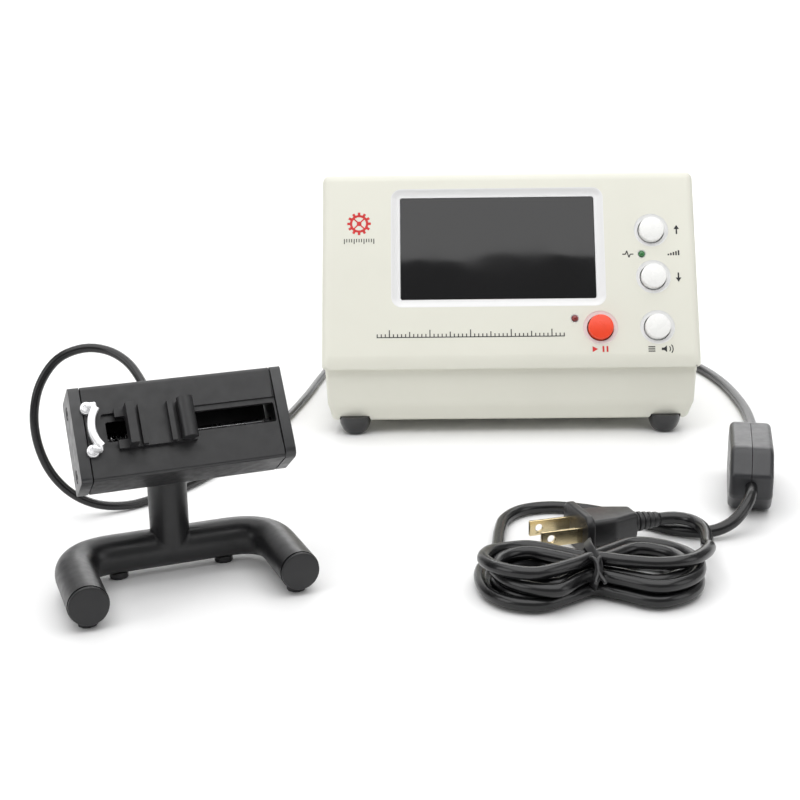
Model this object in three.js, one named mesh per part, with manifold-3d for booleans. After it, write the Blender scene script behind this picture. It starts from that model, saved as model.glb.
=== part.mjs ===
// Timegrapher: a console that times mechanical watches, its microphone stand and its mains lead.
// Units are millimetres and +Z is up. The origin is the centre of the footprint of the console
// and the stand, on the table that they stand on. +X is to the right of the person using it,
// and the front panel faces -Y.
import * as THREE from "three";
import { mergeVertices } from "three/addons/utils/BufferGeometryUtils.js";
import Module from "manifold-3d";

const wasm = await Module();
wasm.setup();

// ---- driving dimensions -------------------------------------------------------------------

const GAP = 0.3; // clearance between pieces that touch

const CASE = {
  width: 190, depth: 110, height: 127.5, rearHeight: 120, splitZ: 35.5, panelFootZ: 39,
  panelTopY: 45, panelTopZ: 127, wall: 3, plinthInset: 1.5, plinthFrontY: 3.5, underside: 7, bevelTop: 16.5, bevelIn: 3.5,
};
const PANEL_TILT = Math.atan2(CASE.panelTopY, CASE.panelTopZ - CASE.panelFootZ);
const PANEL_LENGTH = Math.hypot(CASE.panelTopY, CASE.panelTopZ - CASE.panelFootZ);
const SCREEN = { x: -5.7, s: 60, width: 99, height: 54, bezelWidth: 107, bezelHeight: 61.5 };
const BUTTON = { radius: 6.3, hole: 6.9, proud: 2.4, travel: 1.5 };
const BUTTONS = {
  button_value_up: { x: 72.2, s: 68 },
  button_value_down: { x: 72.4, s: 43.5 },
  button_start_stop: { x: 45, s: 17.4 },
  button_menu: { x: 73.4, s: 17.4 },
};
const LAMPS = { signal_lamp: { x: 67, s: 55.5 }, run_lamp: { x: 32.3, s: 22.2 } };
const LAMP_RADIUS = 1.5;
const FOOT = { radius: 8.3, height: 12.5, x: 79, frontY: 10.5, rearY: 99.5 };
const SCREW_PLACES = [[-86, 25], [86, 25], [-86, 85], [86, 85]];
const BOARD_POSTS = [[-28, 36], [70, 36], [-28, 84], [70, 84]];
const REAR_Z = 22;
const GLAND_X = 76;
const SOCKET_X = -76;

// The boot that the microphone cable leaves the post through, and the hole it sits in.
const CABLE_BOOT = { from: [0, 4.9, 30.1], to: [1.5, 16, 38.5], radius: 2.9, tip: 2.3 };
const CABLE_HOLE = [[-0.3, 2, 27.9], [1.2, 14, 37]];

const STAND = { x: -142.7, y: -165.4, turn: THREE.MathUtils.degToRad(22.5) };
const TUBE = { radius: 7.5, bore: 6, half: 38.6, bend: 17, leg: 44.9, axisZ: 9.5, postTop: 38 };
const PIVOT = { back: 3, z: 48, pin: 2, tongue: 6, tongueWidth: 7 };
const HEAD = { tilt: THREE.MathUtils.degToRad(33), length: 79, height: 35.5, depth: 20.3 };
const HEAD_CENTRE = [3.9, -18.25, 1.3];
const CAP = 4; // length of each end cap of the head
const SLOT = { height: 7.5, left: -28, right: 34.5 };
const SLIDER = { left: -24.8, right: 3.5, height: 15 };

const CABLE_RADIUS = 1.9;
const LEAD_RADIUS = 2.5;
const TABLE = 0.1; // cords lie this far above the table

// Middle line of the microphone cable, from the boot in the post to the plug behind the case.
const CABLE_ROUTE = [
  [-147.5, -149.8, 38.7], [-149.9, -140.8, 45.7], [-154, -129.5, 54.5], [-160, -118.5, 63],
  [-167.5, -110.5, 69.5], [-176.5, -105.8, 73], [-186.5, -104.5, 73.5], [-197, -106, 69.5],
  [-204.5, -109, 59.5],
  [-207.5, -111.5, 47], [-206.5, -113, 34], [-202, -113, 21.5], [-194.5, -111, 11.5],
  [-185, -107, 5], [-174, -101, 2.2], [-162, -90, 2], [-151, -74, 2], [-141, -53, 2],
  [-132, -28, 2], [-124, 0, 2], [-117, 28, 2], [-112, 56, 2], [-108, 82, 2], [-105, 106, 2],
  [-101, 131, 2.4], [-95, 149, 4.5], [-86.5, 161, 9.5], [-79.5, 162, 15.8], [-76.4, 154.5, 20.6],
  [-76, 144, REAR_Z],
];
// Middle line of the mains lead from the gland to the in-line switch, round the case's corner.
const LEAD_TO_SWITCH = [
  [GLAND_X, 135.5, REAR_Z], [76.5, 143, 20.5], [79, 151, 15.5], [85, 157, 9.5], [94, 158, 4.5],
  [104, 152.5, 2.7], [113, 141, 2.6], [120, 125, 2.6], [124.5, 105, 2.6], [127, 82, 2.6],
  [127.5, 58, 2.6], [126.5, 34, 2.6], [123.5, 10, 2.6], [119, -12, 2.8], [113.5, -33, 4.5],
  [108.5, -48, 8.5], [105.3, -57.5, 11.5],
];
// From the switch to the bundle that lies tied in front of the case.
const LEAD_TO_BUNDLE = [
  [92.6, -119, 11.5], [89, -128.5, 8.5], [82.5, -136, 4.5], [73, -139.5, 2.8], [62, -137, 2.6],
  [50, -129, 2.6], [37, -119, 2.6], [23, -111, 2.6], [9, -108, 2.6], [-3, -112, 2.6],
  [-10.5, -122, 2.6], [-13.5, -136, 2.6], [-13, -148, 2.8], [-10, -158.2, 3.4],
];
// From the bundle back up to the plug, which lies behind it.
const LEAD_TO_PLUG = [
  [56.5, -162.2, 9], [61.5, -158.2, 8.6], [64.3, -152, 8.5], [63.8, -145.6, 8.6],
  [60.2, -140.8, 8.6], [56, -138.7, 8.6], [51.3, -138.6, 8.6],
];
const SWITCH = {
  x: 98.9, y: -88, z: 14.2, turn: THREE.MathUtils.degToRad(-102), length: 60, height: 28, depth: 18,
};
const ROCKER_TIP = THREE.MathUtils.degToRad(-8); // the rocker rests with one end pressed in
const BUNDLE = { x: 17, y: -187, length: 86, width: 48, height: 19, turn: THREE.MathUtils.degToRad(4) };
const PLUG = { x: 50.5, y: -138.6, z: 8.6, turn: THREE.MathUtils.degToRad(197) };

// ---- materials ----------------------------------------------------------------------------

const finish = (color, roughness, metalness = 0) =>
  new THREE.MeshStandardMaterial({ color, roughness, metalness });
const ivory = finish(0xe8e8dc, 0.45);
const blackRubber = finish(0x141414, 0.7);
const blackPaint = finish(0x17171a, 0.4);
const anodised = finish(0x1b1b1c, 0.5, 0.4);
const screenGlass = finish(0x141518, 0.08);
const whiteButton = finish(0xf1f1f1, 0.35);
const redButton = finish(0xe03a1e, 0.35);
const greenLamp = finish(0x2f7a3a, 0.2);
const redLamp = finish(0x7a1512, 0.2);
const board = finish(0x1f5b34, 0.5);
const steel = finish(0xb9bcc0, 0.3, 1);
const brass = finish(0xd6b878, 0.3, 1);
const leadJacket = finish(0x151516, 0.5);
const greyMetal = finish(0x8a8d90, 0.45, 0.8);

// ---- solids -------------------------------------------------------------------------------

function toSolid(geometry) {
  const bare = geometry.clone();
  bare.deleteAttribute("normal");
  bare.deleteAttribute("uv");
  const merged = mergeVertices(bare, 1e-4);
  return new wasm.Manifold(
    new wasm.Mesh({
      numProp: 3,
      vertProperties: new Float32Array(merged.attributes.position.array),
      triVerts: new Uint32Array(merged.index.array),
    }),
  );
}

function toGeometry(solid) {
  const mesh = solid.getMesh();
  const geometry = new THREE.BufferGeometry();
  geometry.setAttribute("position", new THREE.BufferAttribute(new Float32Array(mesh.vertProperties), 3));
  geometry.setIndex(new THREE.BufferAttribute(new Uint32Array(mesh.triVerts), 1));
  geometry.computeVertexNormals();
  return geometry;
}

function join(...geometries) {
  return toGeometry(geometries.map(toSolid).reduce((whole, piece) => whole.add(piece)));
}

function cut(geometry, ...tools) {
  return toGeometry(tools.map(toSolid).reduce((whole, tool) => whole.subtract(tool), toSolid(geometry)));
}

// A box given by two opposite corners.
function block([x0, y0, z0], [x1, y1, z1]) {
  const geometry = new THREE.BoxGeometry(Math.abs(x1 - x0), Math.abs(y1 - y0), Math.abs(z1 - z0));
  return geometry.translate((x0 + x1) / 2, (y0 + y1) / 2, (z0 + z1) / 2);
}

// A round bar between two points, which may taper.
function bar(from, to, radius, sides = 12, endRadius = radius) {
  const start = new THREE.Vector3(...from);
  const along = new THREE.Vector3(...to).sub(start);
  const geometry = new THREE.CylinderGeometry(endRadius, radius, along.length(), sides);
  const turn = new THREE.Quaternion().setFromUnitVectors(
    new THREE.Vector3(0, 1, 0),
    along.clone().normalize(),
  );
  return geometry.applyQuaternion(turn).translate(...start.addScaledVector(along, 0.5).toArray());
}

// An outline in (x, y), drawn out along +Z.
function drawOut(outline, depth, curveSegments) {
  return new THREE.ExtrudeGeometry(outline, { depth, bevelEnabled: false, curveSegments });
}

// A side outline in (y, z), drawn out along X between two planes.
function alongX(outline, x0, x1) {
  return drawOut(outline, x1 - x0, 4).rotateX(Math.PI / 2).rotateZ(Math.PI / 2).translate(x0, 0, 0);
}

// A rectangle with round corners in (x, z), drawn out along Y between two planes.
function plate(width, height, radius, y0, y1, x = 0, z = 0) {
  const outline = roundedOutline([
    [-width / 2, -height / 2], [width / 2, -height / 2], [width / 2, height / 2], [-width / 2, height / 2],
  ], [radius, radius, radius, radius]);
  return drawOut(outline, y1 - y0, 3).rotateX(Math.PI / 2).translate(x, y1, z);
}

// A closed polygon whose corners are rounded by the given radii.
function roundedOutline(corners, radii) {
  const shape = new THREE.Shape();
  corners.forEach(([x, y], i) => {
    const here = new THREE.Vector2(x, y);
    const before = new THREE.Vector2(...corners.at(i - 1)).sub(here).normalize();
    const after = new THREE.Vector2(...corners[(i + 1) % corners.length]).sub(here).normalize();
    const reach = radii[i] / Math.tan(Math.acos(before.dot(after)) / 2);
    const start = here.clone().addScaledVector(before, reach);
    const end = here.clone().addScaledVector(after, reach);
    if (i === 0) {
      shape.moveTo(start.x, start.y);
    } else {
      shape.lineTo(start.x, start.y);
    }
    if (radii[i] > 0) {
      shape.quadraticCurveTo(x, y, end.x, end.y);
    }
  });
  shape.closePath();
  return shape;
}

// A round tube along a smooth curve through the points.
function tubeAlong(points, radius, sides, steps) {
  const path = new THREE.CatmullRomCurve3(points.map((p) => new THREE.Vector3(...p)));
  return alongPath(path, radius, sides, steps);
}

function alongPath(path, radius, sides, steps) {
  const section = new THREE.Shape();
  for (let i = 0; i < sides; i += 1) {
    const angle = (2 * Math.PI * i) / sides;
    const move = i === 0 ? "moveTo" : "lineTo";
    section[move](radius * Math.cos(angle), radius * Math.sin(angle));
  }
  return new THREE.ExtrudeGeometry(section, { steps, extrudePath: path });
}

function part(parent, name, geometry, material) {
  const mesh = new THREE.Mesh(geometry, material);
  mesh.name = name;
  parent.add(mesh);
  return mesh;
}

// ---- console ------------------------------------------------------------------------------

// The cover's side outline, pulled in by a distance for the inner one.
function coverOutline(inset, floorZ) {
  const slope = new THREE.Vector2(CASE.panelTopY, CASE.panelTopZ - CASE.panelFootZ).normalize();
  const front = inset / slope.y;
  const low = Math.max(floorZ, CASE.splitZ);
  const frontAt = (z) => front + ((z - CASE.panelFootZ) * slope.x) / slope.y;
  const top = CASE.height - inset;
  const rear = CASE.rearHeight - inset;
  const lipY = inset === 0 ? 0 : frontAt(low);
  return roundedOutline(
    [[lipY, low], [CASE.depth - inset, low], [CASE.depth - inset, rear], [frontAt(top), top]],
    inset === 0 ? [1.2, 0, 5, 3] : [0, 0, 2, 1.5],
  );
}

// Rounds the long edges of a piece that fills the case's width.
function sideRounding(low, high, lowRadius, highRadius) {
  const half = CASE.width / 2;
  const outline = roundedOutline(
    [[-half, low], [half, low], [half, high], [-half, high]],
    [lowRadius, lowRadius, highRadius, highRadius],
  );
  return drawOut(outline, 400, 4).rotateX(Math.PI / 2).translate(0, 250, 0);
}

// The roof falls towards the back, and its side edges fall with it.
function roofRounding() {
  const fall = (CASE.height - CASE.rearHeight) / (CASE.depth - CASE.panelTopY);
  const slant = new THREE.Matrix4().makeShear(0, 0, 0, -fall, 0, 0);
  return sideRounding(0, CASE.height + fall * CASE.panelTopY, 0, 5).applyMatrix4(slant);
}

function makeCover(parent) {
  const half = CASE.width / 2;
  const outer = toSolid(alongX(coverOutline(0, CASE.splitZ), -half, half));
  const sides = sideRounding(CASE.splitZ, CASE.height + 20, 3, 0);
  const rounded = outer.intersect(toSolid(sides)).intersect(toSolid(roofRounding()));
  const inner = alongX(coverOutline(CASE.wall, CASE.splitZ - 1), -half + CASE.wall, half - CASE.wall);
  const mouth = block(
    [-half + CASE.wall, CASE.wall + 1, CASE.splitZ - 2],
    [half - CASE.wall, CASE.depth - CASE.wall, CASE.splitZ + 2],
  );
  const posts = SCREW_PLACES.map(([x, y]) => {
    const side = Math.sign(x);
    const rib = block([x - side * 4.5, y - 4, CASE.splitZ + 1], [side * (half - 1), y + 4, CASE.splitZ + 18]);
    return join(rib, block([x - side * 4.5, y - 4, 11], [x + side * 4, y + 4, CASE.splitZ + 2]));
  });
  const bores = SCREW_PLACES.map(([x, y]) => bar([x, y, 9], [x, y, 26], 1.8, 8));
  const panelTools = [
    plate(SCREEN.width, SCREEN.height, 1, -5, 8, SCREEN.x, SCREEN.s),
    plate(SCREEN.bezelWidth, SCREEN.bezelHeight, 4, -5, 0.9, SCREEN.x, SCREEN.s),
    ...Object.values(BUTTONS).map(({ x, s }) => bar([x, -4, s], [x, 8, s], BUTTON.hole, 20)),
    ...Object.values(BUTTONS).map(({ x, s }) => bar([x, -4, s], [x, 0.5, s], BUTTON.hole + 0.9, 20)),
    ...Object.values(LAMPS).map(({ x, s }) => bar([x, -4, s], [x, 8, s], LAMP_RADIUS + GAP, 10)),
  ].map((geometry) => geometry.rotateX(-PANEL_TILT).translate(0, 0, CASE.panelFootZ));
  const shell = cut(toGeometry(rounded), inner, mouth);
  part(parent, "case_cover", cut(join(shell, ...posts), ...bores, ...panelTools), ivory);
}

function makeBase(parent) {
  const half = CASE.width / 2 - CASE.plinthInset;
  const top = CASE.splitZ - GAP;
  const outline = roundedOutline(
    [
      [CASE.plinthFrontY, top], [CASE.plinthFrontY, CASE.bevelTop],
      [CASE.plinthFrontY + CASE.bevelIn, CASE.underside], [CASE.depth - CASE.bevelIn, CASE.underside],
      [CASE.depth - 1, CASE.bevelTop], [CASE.depth - 1, top],
    ].reverse(),
    [0, 4, 1.5, 1.5, 4, 0],
  );
  const ends = roundedOutline(
    [
      [-half, top + 1], [-half, CASE.bevelTop], [-half + CASE.bevelIn, CASE.underside - 0.1],
      [half - CASE.bevelIn, CASE.underside - 0.1], [half, CASE.bevelTop], [half, top + 1],
    ],
    [0, 4, 1.5, 1.5, 4, 0],
  );
  const across = drawOut(ends, 200, 3).rotateX(Math.PI / 2).translate(0, 150, 0);
  const body = toSolid(alongX(outline, -half, half)).intersect(toSolid(across));
  const inside = block([-half + 3, CASE.plinthFrontY + 3, 10], [half - 3, CASE.depth - 4, top + 5]);
  const feet = footPlaces();
  const tray = cut(toGeometry(body), inside);
  const bosses = feet.map(([, x, y]) => bar([x, y, 8.5], [x, y, 15.5], FOOT.radius + 2, 14));
  const boardPosts = BOARD_POSTS.map(([x, y]) => bar([x, y, 9], [x, y, 14 - GAP], 3, 8));
  const keepInside = block([-half + 1.5, CASE.plinthFrontY + 1.5, 7], [half - 1.5, CASE.depth - 2.5, top]);
  const inner = toSolid(join(...bosses)).intersect(toSolid(keepInside));
  const whole = join(tray, toGeometry(inner), ...boardPosts);
  const pocketRadius = FOOT.radius + GAP + 0.15;
  const pockets = feet.map(([, x, y]) => bar([x, y, 0], [x, y, FOOT.height + GAP], pocketRadius, 16));
  const holes = SCREW_PLACES.flatMap(([x, y]) => [
    bar([x, y, 0], [x, y, 20], 1.8, 8),
    bar([x, y, 0], [x, y, 8.6], 3.5, 12),
  ]);
  const rearHoles = [
    bar([GLAND_X, 90, REAR_Z], [GLAND_X, 130, REAR_Z], 4.5 + GAP, 14),
    bar([SOCKET_X, 90, REAR_Z], [SOCKET_X, 130, REAR_Z], 5 + GAP, 14),
  ];
  part(parent, "case_base", cut(whole, ...pockets, ...holes, ...rearHoles), ivory);
}

function footPlaces() {
  return [
    ["foot_front_left", -FOOT.x, FOOT.frontY],
    ["foot_front_right", FOOT.x, FOOT.frontY],
    ["foot_rear_left", -FOOT.x, FOOT.rearY],
    ["foot_rear_right", FOOT.x, FOOT.rearY],
  ];
}

function makeFeet(parent) {
  const dome = [[0, 0], [3, 0]];
  for (let i = 1; i <= 4; i += 1) {
    const angle = (i / 4) * (Math.PI / 2);
    dome.push([3 + (FOOT.radius - 3) * Math.sin(angle), (1 - Math.cos(angle)) * 9.5]);
  }
  dome.push([FOOT.radius, FOOT.height], [0, FOOT.height]);
  const profile = dome.map(([x, y]) => new THREE.Vector2(x, y));
  for (const [name, x, y] of footPlaces()) {
    const geometry = new THREE.LatheGeometry(profile, 16).rotateX(Math.PI / 2);
    part(parent, name, geometry.translate(x, y, 0), blackRubber);
  }
}

function makeScrews(parent) {
  SCREW_PLACES.forEach(([x, y], i) => {
    const head = bar([x, y, 7.1], [x, y, 8.3], 3, 10);
    const shaft = bar([x, y, 8], [x, y, 22], 1.4, 6);
    const slot = block([x - 0.4, y - 2.2, 6], [x + 0.4, y + 2.2, 7.6]);
    part(parent, `case_screw_${i + 1}`, cut(join(head, shaft), slot), steel);
  });
}

function makeFrontPanelPieces(parent) {
  const panel = new THREE.Group();
  panel.position.z = CASE.panelFootZ;
  panel.rotation.x = -PANEL_TILT;
  parent.add(panel);
  const lens = plate(SCREEN.width - 0.6, SCREEN.height - 0.6, 0.8, 1.6, 3, SCREEN.x, SCREEN.s);
  part(panel, "screen_window", lens, screenGlass);
  const module = plate(104, 66, 1.5, 3.4, 8.4, SCREEN.x - 2, SCREEN.s);
  part(panel, "display_module", module, greyMetal);
  for (const [name, { x, s }] of Object.entries(BUTTONS)) {
    const colour = name === "button_start_stop" ? redButton : whiteButton;
    const { proud, radius } = BUTTON;
    const cap = bar([x, -proud, s], [x, 3, s], radius, 20);
    const crown = bar([x, -proud - 0.6, s], [x, -proud, s], radius - 0.9, 20, radius);
    const stem = bar([x, 2.8, s], [x, 9, s], 2.4, 8);
    part(panel, name, join(cap, crown, stem), colour);
  }
  for (const [name, { x, s }] of Object.entries(LAMPS)) {
    const dome = new THREE.SphereGeometry(LAMP_RADIUS, 10, 6).translate(x, 0.3, s);
    const body = bar([x, 0.3, s], [x, 9, s], LAMP_RADIUS, 10);
    part(panel, name, join(dome, body), name === "run_lamp" ? redLamp : greenLamp);
  }
  const switches = Object.values(BUTTONS).map(({ x, s }) =>
    join(block([x - 3, 11.6, s - 3], [x + 3, 13.2, s + 3]), bar([x, 10.8, s], [x, 12, s], 1.7, 8)),
  );
  part(panel, "button_board", join(block([-60, 13, 10], [80, 14.6, 78]), ...switches), board);
}

function makeInsides(parent) {
  part(parent, "main_board", block([-33, 31, 14], [75, 88, 15.6]), board);
  const core = block([-74, 40, 10.4], [-40, 78, 36]);
  const windings = block([-70, 34, 14], [-44, 84, 32]);
  part(parent, "mains_transformer", join(core, windings), greyMetal);
  const cone = bar([0, 80.6, 108.3], [0, 81.9, 119.6], 18, 16);
  part(parent, "speaker", cut(cone, bar([0, 79.9, 102.3], [0, 81.05, 112.3], 15, 16)), blackRubber);
}

function makeRearFittings(parent) {
  const flange = bar([GLAND_X, 109.4, REAR_Z], [GLAND_X, 112, REAR_Z], 6.2, 14);
  const neck = bar([GLAND_X, 102, REAR_Z], [GLAND_X, 110, REAR_Z], 4.3, 10);
  const boot = bar([GLAND_X, 111.8, REAR_Z], [GLAND_X, 135, REAR_Z], 4.6, 12, 3.2);
  const grooves = [117, 122, 127].map((y) =>
    cut(
      bar([GLAND_X, y, REAR_Z], [GLAND_X, y + 1.4, REAR_Z], 6, 8),
      bar([GLAND_X, y - 1, REAR_Z], [GLAND_X, y + 3, REAR_Z], 3.1, 8),
    ),
  );
  part(parent, "mains_strain_relief", cut(join(flange, neck, boot), ...grooves), blackRubber);
  const collar = bar([SOCKET_X, 109.4, REAR_Z], [SOCKET_X, 111.5, REAR_Z], 7, 14);
  const barrel = bar([SOCKET_X, 98, REAR_Z], [SOCKET_X, 110, REAR_Z], 4.8, 12);
  const hole = bar([SOCKET_X, 100, REAR_Z], [SOCKET_X, 113, REAR_Z], 3.5, 10);
  part(parent, "microphone_socket", cut(join(collar, barrel), hole), steel);
}

// ---- microphone stand ---------------------------------------------------------------------

// The points of the base tube's middle line: a leg, a bend, the crossbar, a bend and a leg.
function basePath(legEnd) {
  const path = new THREE.CurvePath();
  const { half, bend, axisZ } = TUBE;
  const at = (x, y) => new THREE.Vector3(x, y, axisZ);
  const corner = half - bend;
  path.add(new THREE.LineCurve3(at(-half, -legEnd), at(-half, -bend)));
  path.add(new THREE.QuadraticBezierCurve3(at(-half, -bend), at(-half, 0), at(-corner, 0)));
  path.add(new THREE.LineCurve3(at(-corner, 0), at(corner, 0)));
  path.add(new THREE.QuadraticBezierCurve3(at(corner, 0), at(half, 0), at(half, -bend)));
  path.add(new THREE.LineCurve3(at(half, -bend), at(half, -legEnd)));
  return path;
}

function makeStandBase(parent) {
  const outer = alongPath(basePath(TUBE.leg - 1.5), TUBE.radius, 14, 24);
  const post = bar([0, 0, TUBE.axisZ], [0, 0, TUBE.postTop], TUBE.radius, 16);
  const hollow = alongPath(basePath(TUBE.leg + 3), TUBE.bore, 8, 24);
  const postBore = bar([0, 0, TUBE.axisZ], [0, 0, TUBE.postTop + 5], TUBE.bore - 0.6, 12);
  const cableHole = bar(...CABLE_HOLE, CABLE_BOOT.radius + GAP, 10);
  part(parent, "stand_tube", cut(join(outer, post), hollow, postBore, cableHole), blackPaint);
  for (const [side, name] of [[-1, "left"], [1, "right"]]) {
    const x = side * TUBE.half;
    const disc = bar([x, -TUBE.leg, TUBE.axisZ], [x, -TUBE.leg + 1.2, TUBE.axisZ], TUBE.radius - 0.3, 16);
    const spigot = bar([x, -TUBE.leg + 1, TUBE.axisZ], [x, -TUBE.leg + 8, TUBE.axisZ], TUBE.bore - 0.9, 8);
    part(parent, `tube_cap_${name}`, join(disc, spigot), blackRubber);
    const pads = { front: [x, -38], rear: [side * (TUBE.half - TUBE.bend - 1), 0] };
    for (const [end, [padX, padY]] of Object.entries(pads)) {
      const pad = bar([padX, padY, 0], [padX, padY, 5], 3.6, 10);
      const [dx, dy] = end === "front" ? [0, 12] : [12, 0];
      const from = [padX - dx, padY - dy, TUBE.axisZ];
      const seat = bar(from, [padX + dx, padY + dy, TUBE.axisZ], TUBE.radius + GAP, 16);
      part(parent, `stand_pad_${end}_${name}`, cut(pad, seat), blackRubber);
    }
  }
  const boot = bar(CABLE_BOOT.from, CABLE_BOOT.to, CABLE_BOOT.radius, 10, CABLE_BOOT.tip);
  part(parent, "cable_boot", boot, blackRubber);
}

function makeKnuckle(parent) {
  const { back, z, tongue, tongueWidth, pin } = PIVOT;
  const spigotRadius = TUBE.bore - 0.6 - GAP;
  const spigot = bar([0, 0, 34.5], [0, 0, TUBE.postTop + 1], spigotRadius, 12);
  const waist = bar([0, 0, 24], [0, 0, 35], 2.5, 12);
  const end = bar([0, 0, 21], [0, 0, 26], spigotRadius, 12);
  const collar = bar([0, 0, TUBE.postTop + GAP], [0, 0, 41], TUBE.radius, 16);
  const neck = block([-tongueWidth / 2, back - tongue + 1, 40.5], [tongueWidth / 2, back + tongue - 1, z]);
  const eye = bar([-tongueWidth / 2, back, z], [tongueWidth / 2, back, z], tongue, 16);
  const bore = bar([-10, back, z], [10, back, z], pin + 0.15, 12);
  part(parent, "swivel_knuckle", cut(join(collar, neck, eye, spigot, waist, end), bore), anodised);
}

// ---- microphone head ----------------------------------------------------------------------

function makeHead(stand) {
  const head = new THREE.Group();
  head.position.set(0, PIVOT.back, PIVOT.z);
  head.rotation.x = -HEAD.tilt;
  stand.add(head);
  const body = new THREE.Group();
  body.position.set(...HEAD_CENTRE);
  head.add(body);
  makeHeadHousing(head);
  makeHeadCaps(body);
  makeContact(body);
  makeSlider(body);
  makeHeadInsides(body);
}

function headProfile(inset) {
  const y = HEAD.depth / 2 - inset;
  const z = HEAD.height / 2 - inset;
  return roundedOutline([[-y, -z], [y, -z], [y, z], [-y, z]], Array(4).fill(inset > 0 ? 0.6 : 1.6));
}

// The housing is an aluminium box section with a slot in its face and two ears on its back.
function makeHeadHousing(head) {
  const [cx, cy, cz] = HEAD_CENTRE;
  const half = HEAD.length / 2 - CAP - GAP;
  const box = alongX(headProfile(0), -half, half);
  const hollow = alongX(headProfile(2.6), -half - 1, half + 1);
  const front = -HEAD.depth / 2;
  const slot = block([SLOT.left, front - 1, -SLOT.height / 2], [SLOT.right, front + 4, SLOT.height / 2]);
  const recess = block([SLOT.left - 1.5, front - 1, -6.5], [SLOT.left + 10, front + 1.6, 6.5]);
  const rivets = [-1, 1].map((s) => bar([-34, front - 1, s * 8 + 1], [-34, front + 3, s * 8 + 1], 1.3, 10));
  const shell = cut(box, hollow, slot, recess, ...rivets).translate(cx, cy, cz);
  const earX = PIVOT.tongueWidth / 2 + GAP;
  const ears = [-1, 1].map((s) => {
    const inner = s * earX;
    const outer = s * (earX + 4);
    const eye = bar([inner, 0, 0], [outer, 0, 0], 5.6, 14);
    const web = block([inner, -8.3, -5.6], [outer, 0, 5.6]);
    return join(eye, web);
  });
  const bore = bar([-12, 0, 0], [12, 0, 0], PIVOT.pin + 0.05, 12);
  part(head, "head_housing", cut(join(shell, ...ears), bore), anodised);
  const pinEnd = earX + 4.6;
  const shank = bar([-pinEnd, 0, 0], [pinEnd, 0, 0], PIVOT.pin, 12);
  const heads = [-1, 1].map((s) => bar([s * (pinEnd - 0.25), 0, 0], [s * (pinEnd + 1.4), 0, 0], 3.4, 12));
  part(head, "tilt_pin", join(shank, ...heads), steel);
}

function makeHeadCaps(body) {
  for (const [side, name] of [[-1, "left"], [1, "right"]]) {
    const outer = (side * HEAD.length) / 2;
    const inner = side * (HEAD.length / 2 - CAP);
    const low = Math.min(outer, inner);
    const outline = roundedOutline(
      [[-10.15, -17.75], [10.15, -17.75], [10.15, 17.75], [-10.15, 17.75]],
      side > 0 ? [3.5, 2, 2, 1.6] : [1.6, 1.6, 2, 1.6],
    );
    const cap = alongX(outline, low, low + CAP);
    const holes = [-12.5, 11.5].flatMap((z) => [
      bar([side * 30, 1, z], [side * 42, 1, z], 1.5, 8),
      bar([outer - side * 1.5, 1, z], [outer + side, 1, z], 2.6, 12),
    ]);
    const rodHole = bar([side * 33, 3, 0], [inner + side * 2, 3, 0], 1.5 + GAP, 8);
    part(body, `end_cap_${name}`, cut(cap, ...holes, rodHole), anodised);
    [-12.5, 11.5].forEach((z, i) => {
      const screw = bar([outer - side * 1.2, 1, z], [outer - side * 0.2, 1, z], 2.2, 12);
      const shank = bar([outer - side * 4.4, 1, z], [outer - side * 1.1, 1, z], 1.1, 6);
      const socket = bar([outer - side * 0.8, 1, z], [outer + side, 1, z], 1.1, 6);
      part(body, `cap_screw_${name}_${i + 1}`, cut(join(screw, shank), socket), blackPaint);
    });
  }
}

// The contact is an arched metal bar that the watch's crown rests on.
function makeContact(body) {
  const front = -HEAD.depth / 2;
  const arch = new THREE.Shape();
  arch.absarc(0, 0, 13.2, Math.PI * 0.79, Math.PI * 1.21, false);
  arch.absarc(0, 0, 10.4, Math.PI * 1.21, Math.PI * 0.79, true);
  arch.closePath();
  const band = drawOut(arch, 3.6, 8).rotateX(Math.PI / 2).translate(-21.8, front - 1.2, 1);
  const posts = [-1, 1].flatMap((s) => [
    bar([-34, front - 2, s * 8 + 1], [-34, front + 2, s * 8 + 1], 1, 8),
    bar([-34, front - 1.9, s * 8 + 1], [-34, front - GAP, s * 8 + 1], 2.3, 12),
    block([-33.6, front - 4.4, s * 7.6 - 0.4], [-31.2, front - 1.6, s * 7.6 + 2.4]),
  ]);
  part(body, "crown_contact", join(band, ...posts), steel);
}

// The sliding jaw: a plate on the face, ribs that grip the watch, and a shoe inside the slot.
function makeSlider(body) {
  const front = -HEAD.depth / 2;
  const { left, right, height } = SLIDER;
  const h = height / 2;
  const neck = SLOT.height / 2 - GAP;
  const base = block([left + 5, front - 2.1, -h], [right, front - GAP, h]);
  const arms = [-1, 1].map((s) =>
    block([left, front - 2.1, s * 4.3], [left + 6, front - GAP, s * h]),
  );
  const ribs = [
    block([left + 3.4, front - 8.6, -h], [left + 6.4, front - 1.8, h]),
    block([left + 8.2, front - 5.2, -h], [left + 10, front - 1.8, h]),
    block([right - 9.6, front - 5.2, -h], [right - 7.8, front - 1.8, h]),
    block([right - 6, front - 6, -h + 0.5], [right - 1, front - 1.8, h - 0.5]),
    bar([right - 3.3, front - 6, -h], [right - 3.3, front - 6, h], 3, 12),
  ];
  const stem = block([left + 8, front - 1, -neck], [right - 2, front + 4, neck]);
  const shoe = block([left + 8, front + 2.9, -6.2], [right - 2, front + 15.5, 6.2]);
  const rodBore = bar([-60, 3, 0], [60, 3, 0], 1.9, 8);
  part(body, "clamp_slider", cut(join(base, ...arms, ...ribs, stem, shoe), rodBore), anodised);
}

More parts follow.
